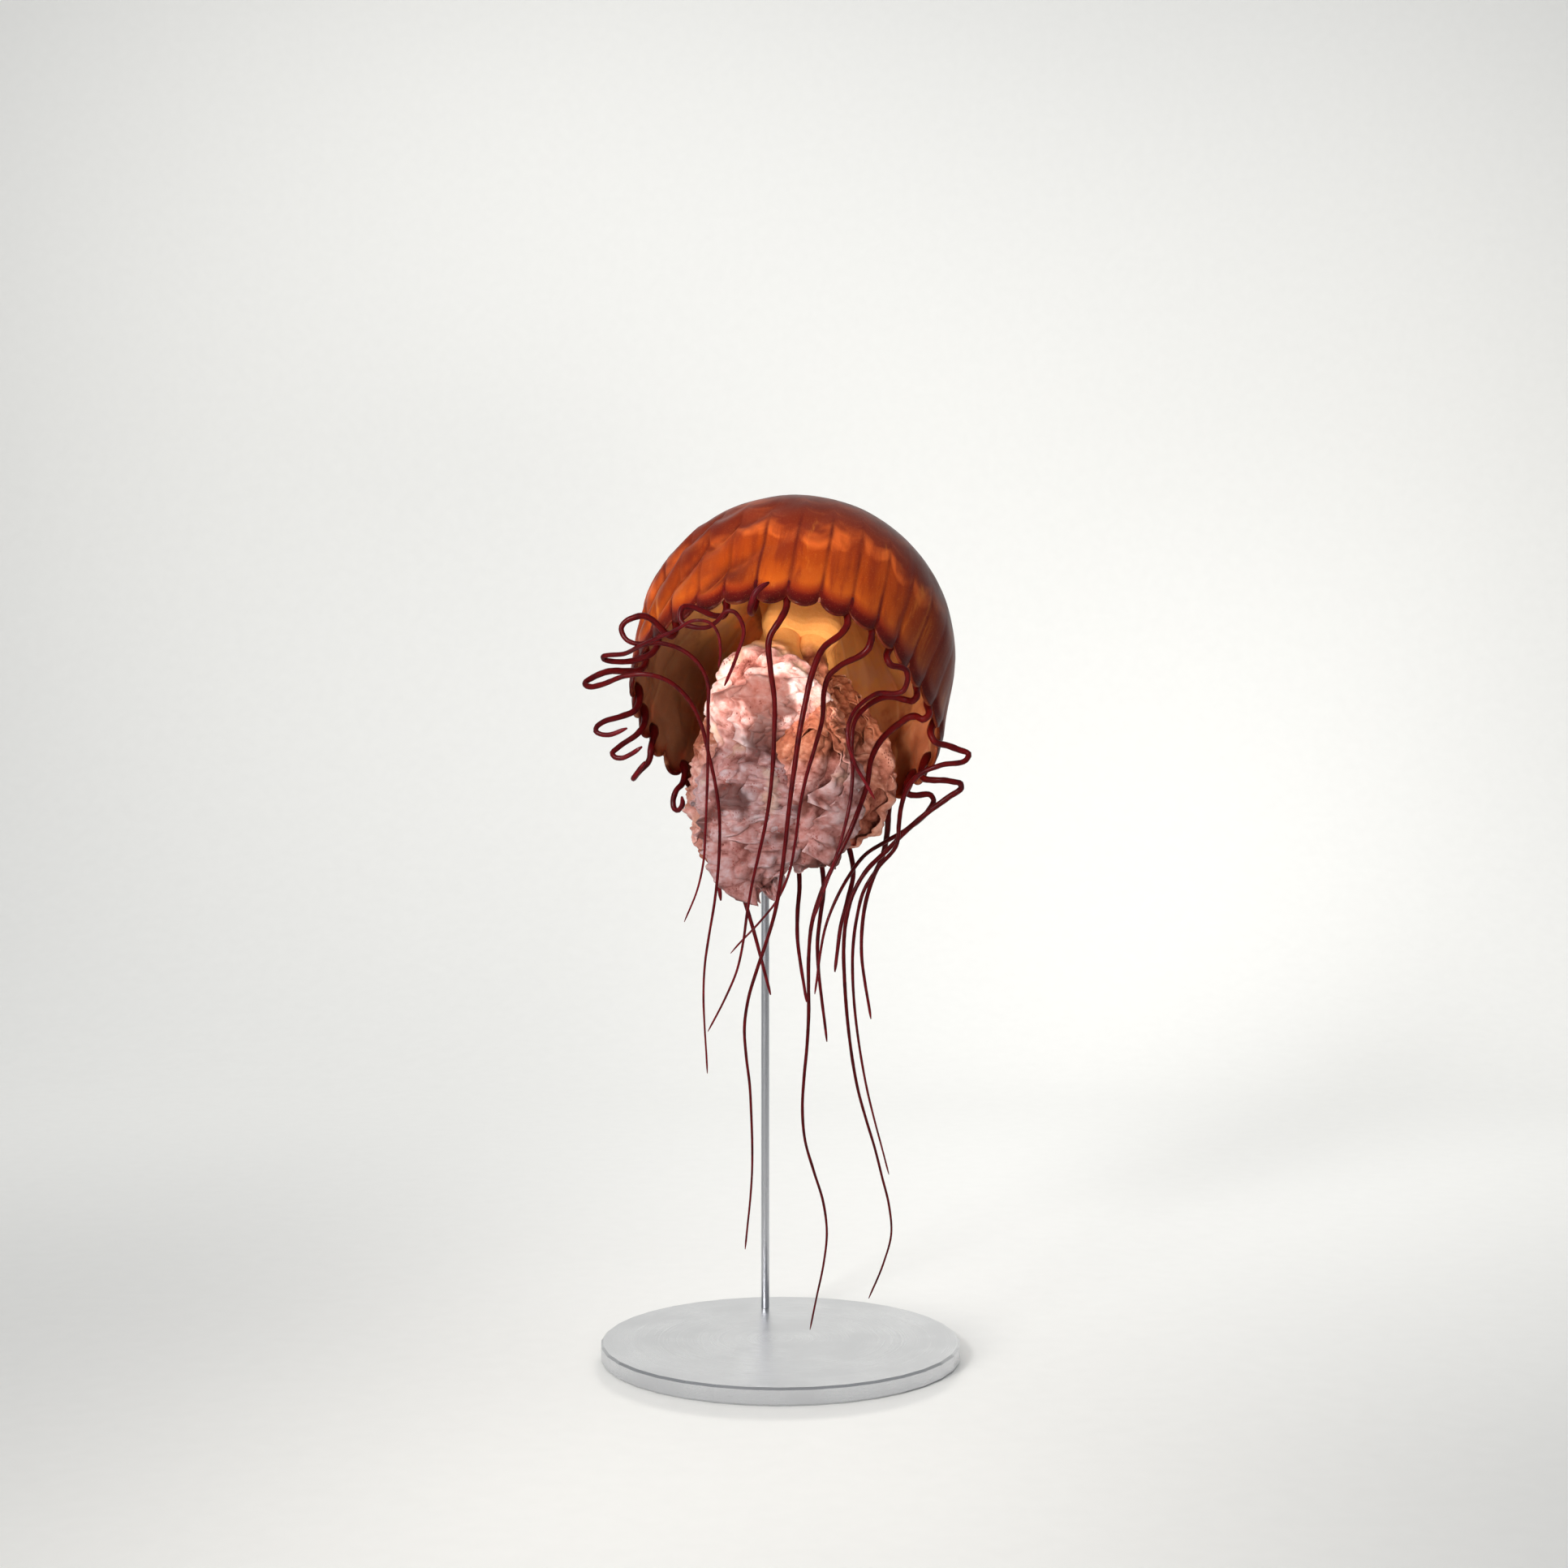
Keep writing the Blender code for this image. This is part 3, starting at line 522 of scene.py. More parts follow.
# Swellings and waists down each arm: share of its length, half width, growth, and how far the
# middle line moves there to the right and to the front.
ARM_SWELLS = {"front_left": ((0.29, 0.11, 0.46, 0.0090, 0.006), (0.51, 0.055, -0.32, 0.0, -0.005),
                             (0.76, 0.14, 0.08, 0.0, 0.0)),
              "front_right": ((0.34, 0.13, -0.30, 0.004, -0.011), (0.72, 0.14, 0.10, 0.0, 0.0)),
              "back_left": ((0.45, 0.10, -0.10, 0.0, 0.0),),
              "back_right": ((0.50, 0.10, -0.10, 0.0, 0.0),)}
# How tanned each arm's flesh is at its root and at its tip, from 0 to 1.
ARM_WARMTH = {"front_left": (0.0, 0.0), "front_right": (0.95, 0.05),
              "back_left": (0.45, 0.25), "back_right": (1.0, 0.55)}
# How strongly the frills' edges ruffle on each arm.
ARM_RUFFLE = {"front_left": 1.0, "front_right": 0.8, "back_left": 0.9, "back_right": 0.45}
# How far each arm moves to the right under the mouth, and once more near its tip.
ARM_CROWDING = {"front_left": 0.0045, "front_right": -0.0045,
                "back_left": 0.002, "back_right": -0.002}

# Crumples of the arms' flesh, each finer than the last: size, height and how strong the painted
# highlight on its ridges and the painted shade in its creases are.
CRUMPLES = ((0.0060, 0.0019, 0.20), (0.0026, 0.0009, 0.16), (0.0013, 0.0003, 0.10))
CRUMPLE_WARP = 0.4
FLESH_LEVEL = 0.46


def add_manubrium(skin, slot):
    """The four-cornered stalk of the mouth. Its top flares under the roof, its foot splits in four."""
    heights, radii = np.transpose(MANUBRIUM_PROFILE)
    rows = np.linspace(0.0, 1.0, MANUBRIUM_ROWS)
    knots = np.linspace(0.0, 1.0, len(heights))
    level = np.interp(rows, knots, heights)[:, None]
    radius = np.interp(rows, knots, radii)[:, None]
    turn = circle(MANUBRIUM_COLUMNS)[None]
    corner = np.cos(4 * (turn - MANUBRIUM_CORNER_AZIMUTH))
    squareness = 0.14 * (1.0 - smooth_step(0.95, 1.25, level)) + 0.05
    place = stacked(np.cos(turn), np.sin(turn), level)
    ribs = 0.010 * np.sin(MANUBRIUM_RIBS * turn + 1.4 * waves(place, 2.5, 21))
    ribs = ribs * smooth_step(1.25, 0.9, level)
    radius = radius * (1.0 + squareness * corner + ribs + 0.03 * waves(place, 3.0, 22))
    marks = stacked(0.02, 0.05, 0.5 + 0.5 * corner)
    skin.add_grid(bell_point(turn, radius, level), marks, slot, MANUBRIUM_PATCH)


def arm_frame(line):
    """Unit vectors along an arm's line, to its right, and across both."""
    along = unit(np.gradient(line, axis=0))
    wide = unit(RIGHT - along * (along @ RIGHT)[:, None])
    return along, wide, np.cross(along, wide)


def arm_sections(place):
    """Middle points and half sizes of an arm's sections, read from its solid."""
    azimuth = ARM_ROOTS[place]
    root = bell_point(azimuth, ARM_ROOT_OFFSET, ARM_ROOT_HEIGHT)
    rings = rings_of("oral_arm_" + place, root, ARM_SIDES)
    centres = np.array([ring.mean(axis=0) for ring in rings])
    _, wide, deep = arm_frame(centres)
    sizes = np.array([[np.ptp((ring - c) @ w) / 2, np.ptp((ring - c) @ d) / 2]
                      for ring, c, w, d in zip(rings, centres, wide, deep)])
    start = bell_point(azimuth, ARM_ROOT_OFFSET * ARM_START_INSET, ARM_ROOT_HEIGHT + ARM_START_RISE)
    return np.vstack([start, centres]), np.vstack([sizes[0] * ARM_START_SLIMNESS, sizes])


class Arm:
    """The middle line of an oral arm, its two half sizes and the frame of each section."""

    def __init__(self, place, step):
        self.line, self.sizes, self.places = resample(*arm_sections(place), step)
        self.sizes = np.maximum(self.sizes, ARM_LEAST_HALF_SIZE)
        self.share = self.places / self.places[-1]
        self.along, self.wide, self.deep = arm_frame(self.line)
        self.ruffle = ARM_RUFFLE[place]
        root, tip = ARM_WARMTH[place]
        self.warmth = root + (tip - root) * smooth_step(0.35, 0.70, self.share)
        self.crowd(ARM_CROWDING[place])
        for swell in ARM_SWELLS[place]:
            self.swell(*swell)

    def crowd(self, amount):
        """Neighbouring arms crowd together under the mouth and at their tips."""
        moved = smooth_step(0.05, 0.20, self.share) + smooth_step(0.5, 0.8, self.share)
        crowd = amount * moved
        self.line = self.line + self.wide * crowd[:, None]
        self.sizes[:, 0] += np.abs(crowd)

    def swell(self, centre, half_width, growth, aside, forward):
        there = np.exp(-(((self.share - centre) / half_width) ** 2))[:, None]
        self.sizes *= 1.0 + growth * there
        self.line = self.line + (self.wide * aside + self.deep * forward) * there

    def section(self, angle, reach, rows=slice(None)):
        """Points at an angle round each section, at a share of its half sizes."""
        across = (self.wide[rows, None] * (self.sizes[rows, :1] * reach * np.cos(angle))[..., None]
                  + self.deep[rows, None] * (self.sizes[rows, 1:] * reach * np.sin(angle))[..., None])
        return self.line[rows, None] + across


def crumpled(points, out, amount, seed):
    """How far a crumpled surface stands out at each point, and its level on the pink ramp there:
    raised by painted highlight on ridges and further out, lowered by painted shade in creases.
    """
    height, level, puff = 0.0, FLESH_LEVEL, np.zeros(points.shape[:-1])
    for finer, (size, rise, ridge_highlight) in enumerate(CRUMPLES):
        puff = puffs(points / size + CRUMPLE_WARP * puff[..., None], seed + finer)
        height = height + rise * puff
        level = level + ridge_highlight * puff
    return amount * height, level + 0.06 * out


def add_arm_core(skin, arm, index, slot):
    """The thick crumpled middle of an oral arm, under its frills."""
    turn = circle(CORE_COLUMNS)[None]
    share = arm.share[:, None]
    strength = smooth_step(0.14, 0.26, share)
    slim = 1.0 - (1.0 - CORE_SHARE) * smooth_step(0.04, 0.16, share)
    reach = slim * np.sqrt(np.clip((0.97 - share) / 0.06, 0.02, 1.0))
    lobes = CORE_LOBE_HEIGHT * strength * np.sin(CORE_LOBES * turn + 6.0 * share + index)
    points = arm.section(turn, reach * (1.0 + lobes))
    height, level = crumpled(points, 0.0, CORE_CRUMPLING * strength, CORE_SEED + 10 * index)
    outwards = unit(points - arm.line[:, None])
    points = points + outwards * height[..., None]
    marks = stacked(level - 0.10, share, arm.warmth[:, None])
    patch = ((0.25 * index, 0.51), (0.0, 0.23), (0.24, 0.0))
    skin.add_grid(points, marks, slot, patch)


# ---------------- frills of the oral arms

FRILLS = 14
# Where the frills of each overlapping tier start and end, in shares of the arm's length.
FRILL_TIERS = ((0.17, 0.50), (0.26, 0.80), (0.46, 1.0))
FRILL_STEP = 0.0007
FRILL_COLUMNS = 26
FRILL_THICKNESS = 0.0007
FRILL_WRAP = radians(100.0)
FRILL_TWIST = radians(80.0)
FRILL_WAVE = 0.0110
FRILL_WANDER = 0.028
FRILL_PATCHES = 0.016
FRILL_ROOT_REACH = 0.55
FRILL_RUFFLE = 0.06
FRILL_FINE_RUFFLE = 0.015
FRILL_FORE_AND_AFT = 0.0014
FRILL_RAGGEDNESS = 0.0075
FRILL_SEED = 500


def frill_sheet(arm, draw, angle, start, end):
    """One frill's middle surface, like a leaf that leaves the arm's core, wraps round the arm and
    ends in ragged, ruffled edges. Rows run down the arm, columns from the frill's root outwards."""
    rows = (arm.share >= start) & (arm.share <= end)
    out = np.linspace(0.0, 1.0, FRILL_COLUMNS)[None]
    share = arm.share[rows, None]
    place = arm.places[rows, None]
    seed = int(draw.integers(1 << 30))
    line = np.concatenate([place / FRILL_WANDER, 0.0 * place + angle], axis=-1)
    sheet = stacked(place / FRILL_PATCHES, 2.2 * out, angle)
    wander = waves(line, 1.0, seed)[:, None]
    vigour = 0.75 + 0.5 * waves(sheet, 0.7, seed + 1)
    wavelength = FRILL_WAVE * draw.uniform(0.8, 1.5)
    swing = 2 * pi * place / wavelength + 2.4 * waves(sheet, 1.0, seed + 2)

    # The frill opens from the core at its start, and is loosest at its edge and its foot.
    opened = smooth_step(start, start + 0.10, share)
    foot = smooth_step(end - 0.10, end, share)
    edge = smooth_step(0.35, 1.0, out)
    wrap = FRILL_WRAP * draw.uniform(0.75, 1.2) * (1.0 + 0.35 * wander)
    turn = angle + FRILL_TWIST * share + wrap * opened * out
    turn = turn + 0.40 * wander + 0.07 * edge * np.cos(swing)
    size = draw.uniform(0.94, 1.05) + 0.08 * waves(line, 2.3, seed + 3)[:, None]
    ripple = FRILL_RUFFLE * np.sin(swing) + FRILL_FINE_RUFFLE * np.sin(2.3 * swing + 2.0 * wander)
    growth = size - FRILL_ROOT_REACH + arm.ruffle * edge * vigour * ripple
    reach = FRILL_ROOT_REACH + growth * smooth_step(0.0, 0.5, out) * opened
    taper = np.sqrt(np.clip((1.03 - share) / 0.07, 0.1, 1.0))
    points = arm.section(turn, reach * taper, rows)

    height, level = crumpled(points, out, smooth_step(0.1, 0.5, out) * opened, seed % 1000)
    outwards = unit(points - arm.line[rows, None])
    ragged = waves(stacked(6.0 * out, angle), 1.0, seed + 4)
    slide = FRILL_FORE_AND_AFT * arm.ruffle * edge * opened * np.cos(swing + 0.6)
    slide = slide + FRILL_RAGGEDNESS * foot * ragged
    points = points + outwards * height[..., None] + arm.along[rows, None] * slide[..., None]
    # The edges and the foot are painted paler: a painted highlight where they stand out.
    level = level + 0.14 * np.maximum(edge, foot) ** 2
    return points, stacked(level, share, arm.warmth[rows, None])


def add_frill(surface, arm, draw, angle, start, end, patch):
    """One thin frill: its two faces a little apart, joined all round."""
    middle, marks = frill_sheet(arm, draw, angle, start, end)
    normal = np.cross(np.gradient(middle, axis=0), np.gradient(middle, axis=1))
    normal /= np.maximum(np.linalg.norm(normal, axis=-1, keepdims=True), 1e-12)
    offset = normal * FRILL_THICKNESS / 2
    points = np.concatenate([middle + offset, (middle - offset)[:, ::-1]], axis=1)
    marks = np.concatenate([marks, marks[:, ::-1]], axis=1)
    surface.add_grid(points, marks, 0, patch, flat_ends=True)


def build_frills(place, index, material):
    """Frills in three overlapping tiers down one arm."""
    arm = Arm(place, FRILL_STEP)
    draw = np.random.default_rng(FRILL_SEED + index)
    surface = Surface("oral_arm_frills_" + place)
    for frill in range(FRILLS):
        angle = 2 * pi * (frill + draw.uniform(-0.3, 0.3)) / FRILLS * len(FRILL_TIERS)
        start, end = FRILL_TIERS[frill % len(FRILL_TIERS)]
        start += draw.uniform(-0.03, 0.08)
        end = min(end + draw.uniform(-0.12, 0.08), 1.0)
        patch = ((0.0, frill / FRILLS), (1.0, 0.0), (0.0, 0.95 / FRILLS))
        add_frill(surface, arm, draw, angle, start, end, patch)
    return surface.build([material])


# ---------------- tentacles

TENTACLE_NOTCHES = [notch for notch in range(LAPPETS)
                    if notch % SENSE_ORGAN_EVERY != SENSE_ORGAN_EVERY - 1]
TENTACLE_STEP = 0.0019
TENTACLE_COLUMNS = 8
# The root grows out of the margin's inner face: inset from the rim and height of two points.
TENTACLE_STEM = ((0.012, 0.115), (0.030, 0.075))
TENTACLE_STEM_GROWTH = (0.5, 1.15)
TENTACLE_LUMP_LENGTH = 0.004
TENTACLE_LUMP_HEIGHT = 0.06
TENTACLE_WRINKLE_LENGTH = 0.00105
TENTACLE_WRINKLE_HEIGHT = 0.035
# The bulb at the root: its distance from the root, half length and height.
TENTACLE_BULB = (0.009, 0.006, 0.28)
TENTACLE_TIP_TAPER = (0.9, 0.7, 0.4)
TENTACLE_SEED = 900
# The strip of the unwrap that holds the tentacles, and the length that would fill its width.
TENTACLE_STRIP_START = 0.75
TENTACLE_STRIP_WIDTH = 0.25 / len(TENTACLE_NOTCHES)
TENTACLE_STRIP_LENGTH = 0.5


def tentacle_line(number, notch):
    """Centres and radii of a tentacle's sections from root to tip, read from its lengths."""
    azimuth = notch_azimuth(notch)
    rim = 1.0 - margin_pull(azimuth, 0.0)
    start = bell_point(azimuth, rim - TENTACLE_ROOT_INSET, TENTACLE_ROOT_HEIGHT)
    centres, radii = [], []
    for letter in "abc":
        node = f"tentacle_{number:02d}_{letter}"
        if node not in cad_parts:
            break
        rings = rings_of(node, start, TENTACLE_SIDES)
        for ring in rings if letter == "a" else rings[1:]:
            centre = ring.mean(axis=0)
            centres.append(centre)
            radii.append(np.linalg.norm(ring - centre, axis=1).mean())
        start = centres[-1]
    stem = [bell_point(azimuth, rim - inset, height) for inset, height in TENTACLE_STEM]
    stem_radii = [radii[0] * growth for growth in TENTACLE_STEM_GROWTH]
    return np.array([*stem, *centres]), np.array([*stem_radii, *radii])


def add_tentacle(skin, number, notch, slot):
    """A tapering, finely ringed tube with soft lumps, a bulb at its root and a round tip."""
    centres, radii = tentacle_line(number, notch)
    points, radius, places = resample(centres, radii[:, None], TENTACLE_STEP)
    side, other = sides_along(points, RIGHT)
    share = places / places[-1]
    draw = np.random.default_rng(TENTACLE_SEED + number)
    seed = int(draw.integers(1 << 30))
    lumps = TENTACLE_LUMP_HEIGHT * waves(places[:, None] / TENTACLE_LUMP_LENGTH, 1.0, seed)
    swing = places / TENTACLE_WRINKLE_LENGTH + 1.5 * np.sin(places / 0.009)
    wrinkles = TENTACLE_WRINKLE_HEIGHT * np.sin(swing) * (1.0 - share)
    bulb_place, bulb_half_length, bulb_height = TENTACLE_BULB
    bulb = bulb_height * np.exp(-((places - bulb_place) / bulb_half_length) ** 2)
    radius = radius[:, 0] * (1.0 + lumps + wrinkles + bulb)
    radius[-len(TENTACLE_TIP_TAPER):] *= TENTACLE_TIP_TAPER
    turn = circle(TENTACLE_COLUMNS)[:, None]
    ring = side[:, None] * np.cos(turn) + other[:, None] * np.sin(turn)
    grid = points[:, None] + ring * radius[:, None, None]
    marks = stacked(share, 0.0, 0.0)[:, None]
    patch = ((0.0, TENTACLE_STRIP_START + TENTACLE_STRIP_WIDTH * (number - 1)),
             (min(places[-1] / TENTACLE_STRIP_LENGTH, 1.0), 0.0),
             (0.0, 0.9 * TENTACLE_STRIP_WIDTH))
    skin.add_grid(grid, marks, slot, patch)


# ---------------- materials

# Colours by place along a ramp: the share of the ramp, and the colour as 0-255 sRGB.
# The orange wall below the waist is partly pigment and partly painted glow of light through the thin
# wall; the bright stop at 0.262, on the waist, is a painted highlight line.
OUTER_COLOURS = ((0.000, (52, 7, 7)), (0.024, (76, 12, 8)), (0.042, (124, 38, 12)),
                 (0.075, (166, 74, 17)), (0.150, (142, 56, 10)), (0.230, (140, 53, 12)),
                 (0.262, (182, 82, 30)), (0.320, (108, 36, 15)), (0.550, (84, 26, 13)),
                 (0.780, (100, 38, 21)), (1.000, (88, 31, 19)))
# The gold under the roof is partly pigment and partly painted glow of light coming through it.
INNER_COLOURS = ((0.000, (58, 9, 8)), (0.026, (92, 22, 14)), (0.060, (132, 72, 50)),
                 (0.160, (158, 96, 68)), (0.320, (202, 134, 88)), (0.550, (248, 176, 100)),
                 (1.000, (250, 174, 94)))
# The pink ramp runs from painted shade in the hollows, through the flesh's own pink, to painted
# highlight on pale cream ridges.
PINK_COLOURS = ((0.00, (112, 52, 44)), (0.22, (170, 102, 90)), (0.50, (226, 160, 148)),
                (0.78, (244, 200, 192)), (1.00, (252, 226, 220)))
TANNED_COLOURS = ((0.00, (84, 32, 20)), (0.35, (138, 72, 48)), (0.70, (184, 108, 76)),
                  (1.00, (220, 150, 118)))
TENTACLE_COLOURS = ((0.00, (74, 9, 7)), (0.12, (62, 4, 5)), (0.60, (58, 5, 8)),
                    (1.00, (78, 11, 17)))
# The path up the bell that the whole of its ramps covers, in bell radii.
BELL_RAMP_LENGTH = 2.1
# How far red, green and blue light go in flesh, as shares of its depth.
AMBER_DEPTHS = (1.0, 0.38, 0.16)
PINK_DEPTHS = (1.0, 0.60, 0.50)


class Shader:
    """Builds one material's nodes, with a short name for each kind used here."""

    def __init__(self, name):
        self.material = bpy.data.materials.new(name)
        self.material.use_nodes = True
        self.tree = self.material.node_tree
        self.tree.nodes.clear()

    def node(self, kind, inputs=(), **settings):
        """A new node, with values or links for its inputs and values for its settings."""
        node = self.tree.nodes.new("ShaderNode" + kind)
        for name, value in settings.items():
            setattr(node, name, value)
        for name, value in dict(inputs).items():
            if isinstance(value, bpy.types.NodeSocket):
                self.tree.links.new(value, node.inputs[name])
            else:
                node.inputs[name].default_value = value
        return node

    def attribute(self, name):
        return self.node("Attribute", attribute_name=name).outputs["Vector"]

    def parts(self, vector):
        return self.node("SeparateXYZ", {"Vector": vector}).outputs[:3]

    def marks(self):
        return self.parts(self.attribute("marks"))

    def place(self):
        return self.node("TexCoord").outputs["Object"]

    def stretched(self, vector, scale):
        return self.node("Mapping", {"Vector": vector, "Scale": scale}).outputs["Vector"]

    def noise(self, vector, scale, detail=4.0, roughness=0.55, distortion=0.0):
        return self.node("TexNoise", {"Vector": vector, "Scale": scale, "Detail": detail,
                                                "Roughness": roughness, "Distortion": distortion}
                         ).outputs["Fac"]

    def dots(self, vector, scale):
        """Distance to the nearest of scattered points."""
        return self.node("TexVoronoi", {"Vector": vector, "Scale": scale}
                         ).outputs["Distance"]

    def fit(self, value, low, high, top=1.0, bottom=0.0):
        """A smooth step from the bottom, where the value is low, to the top, where it's high."""
        return self.node("MapRange", {"Value": value, "From Min": low, "From Max": high,
                                                "To Min": bottom, "To Max": top},
                         interpolation_type="SMOOTHSTEP").outputs["Result"]

    def maths(self, operation, a, b=0.0):
        return self.node("Math", {0: a, 1: b}, operation=operation).outputs["Value"]

    def product(self, *values):
        product = values[0]
        for value in values[1:]:
            product = self.maths("MULTIPLY", product, value)
        return product

    def mix(self, share, a, b, blend="MIX"):
        return self.node("Mix", {0: share, 6: a, 7: b}, data_type="RGBA",
                         blend_type=blend).outputs[2]

    def mix_value(self, share, a, b):
        return self.node("Mix", {0: share, 2: a, 3: b}, data_type="FLOAT").outputs[0]

    def tinted(self, colour, *tints):
        """The colour moved towards one tone after another, each a 0-255 sRGB colour followed by
        shares, whose product says how far."""
        for tone, *shares in tints:
            colour = self.mix(self.product(*shares), colour, srgb(*tone))
        return colour

    def ramp(self, value, stops):
        """Colour by value; stops are (value, 0-255 sRGB colour) in rising order."""
        node = self.node("ValToRGB", {"Fac": value})
        elements = node.color_ramp.elements
        while len(elements) < len(stops):
            elements.new(0.5)
        for element, (position, colour) in zip(elements, stops):
            element.position = position
            element.color = srgb(*colour)
        return node.outputs["Color"]

    def bump(self, height, distance, strength, normal=None):
        inputs = {"Height": height, "Distance": distance, "Strength": strength}
        if normal is not None:
            inputs["Normal"] = normal
        return self.node("Bump", inputs).outputs["Normal"]

    def finish(self, shader):
        self.node("OutputMaterial", {"Surface": shader})
        return self.material

    def flesh(self, colour, normal, roughness, glow, glow_share, depth, depths, coat):
        """Wet flesh: a scattering surface mixed with light that comes through from behind."""
        surface = self.node("BsdfPrincipled", {
            "Base Color": colour, "Roughness": roughness, "Normal": normal,
            "Subsurface Weight": 0.35, "Subsurface Radius": depths,
            "Subsurface Scale": depth, "IOR": 1.36, "Specular IOR Level": 0.14,
            "Coat Weight": coat, "Coat Roughness": 0.10})
        through = self.node("BsdfTranslucent", {"Color": glow, "Normal": normal})
        both = self.node("MixShader",
                         {0: glow_share, 1: surface.outputs[0], 2: through.outputs[0]})
        return self.finish(both.outputs[0])


def outer_colour(s, flow, path, rise, ridge, streaks, blotches):
    """Dark scalloped rim, orange wall and red-brown crown; the wall's orange is partly painted glow,
    with a painted highlight line at the waist. Painted shade makes the bell's right a darker red.
    """
    bands = s.noise(s.stretched(flow, (1.6, 1.6, 5.0)), 1.0, 4.0, 0.6, 0.8)
    crown = s.fit(path, 0.55, 0.9)
    wall = s.product(s.fit(path, 0.9, 0.5, 1.0, 0.15), s.fit(path, 0.06, 0.16))
    # Painted shade in the furrows between the lappets and in the creases of the folds.
    furrow = s.product(s.fit(ridge, 0.60, 0.0), s.fit(path, 1.0, 0.5))
    furrow_shade_strength = s.fit(s.noise(flow, 2.6, 2.0), 0.38, 0.62, 0.95, 0.45)
    return s.tinted(
        s.ramp(rise, OUTER_COLOURS),
        ((104, 28, 12), s.fit(streaks, 0.48, 0.66, 0.70), wall),
        ((236, 138, 52), s.fit(streaks, 0.44, 0.30, 0.45), wall),
        ((170, 80, 44), s.fit(bands, 0.55, 0.74, 0.45), crown),
        ((70, 18, 12), s.fit(bands, 0.47, 0.30, 0.6), crown),
        # Painted shade darkens the bell's right.
        ((62, 14, 11), s.fit(s.parts(flow)[0], 0.35, 0.90, 0.75)),
        ((80, 18, 10), furrow, furrow_shade_strength),
        ((104, 32, 18), s.fit(blotches, 0.5, 0.75, 0.5)))


def inner_colour(s, flow, path, rise, ridge, streaks, blotches):
    """Brown inside the rim and gold under the roof, the gold partly painted glow, with pale septa.
    Painted shade makes the left a duller brown and the right a deeper one."""
    to_right = s.parts(flow)[0]
    septum = s.product(s.fit(ridge, 0.16, 0.0), s.fit(path, 0.05, 0.2))
    # Painted shade on the left inside.
    left = s.product(s.fit(to_right, -0.22, -0.75, 0.85), s.fit(path, 1.55, 0.75))
    return s.tinted(
        s.ramp(rise, INNER_COLOURS),
        ((196, 116, 66), s.fit(streaks, 0.48, 0.75, 0.4)),
        ((246, 190, 128), septum, 0.5),
        ((128, 62, 38), s.fit(blotches, 0.50, 0.66, 0.6)),
        ((226, 160, 124), s.fit(blotches, 0.46, 0.32, 0.5)),
        ((122, 80, 56), left, s.fit(path, 0.02, 0.12)),
        # Painted shade deepens the right inside.
        ((150, 70, 32), s.fit(to_right, 0.05, 0.50, 0.40)))


def bell_material():
    """Amber jelly, with streaks down the wall, blotches and fine pale grains."""
    s = Shader("bell_jelly")
    path, inside, ridge = s.marks()
    flow = s.attribute("flow")
    streaks = s.noise(s.stretched(flow, (7.0, 7.0, 1.1)), 1.0, 5.0, 0.6, 0.3)
    blotches = s.noise(s.place(), 30.0, 4.0, 0.6)
    grain = s.dots(s.place(), 900.0)
    uneven = s.product(s.fit(s.noise(flow, 3.0, 3.0), 0.3, 0.7, 0.05, -0.05),
                       s.fit(path, 0.1, 0.6))
    rise = s.maths("ADD", s.maths("DIVIDE", path, BELL_RAMP_LENGTH), uneven)
    outer = outer_colour(s, flow, path, rise, ridge, streaks, blotches)
    inner = inner_colour(s, flow, path, rise, ridge, streaks, blotches)
    colour = s.tinted(
        s.mix(inside, outer, inner),
        ((236, 170, 110), s.fit(grain, 0.22, 0.05, 0.18)))
    normal = s.bump(s.fit(grain, 0.0, 0.4), 0.00012, 0.35)
    normal = s.bump(streaks, 0.0009, 0.5, normal)
    rough = s.fit(blotches, 0.3, 0.8, 0.46, 0.30)
    share = s.mix_value(inside, s.fit(path, 0.0, 1.6, 0.16, 0.30), 0.14)
    return s.flesh(colour, normal, rough, colour, share, 0.010, AMBER_DEPTHS, 0.07)


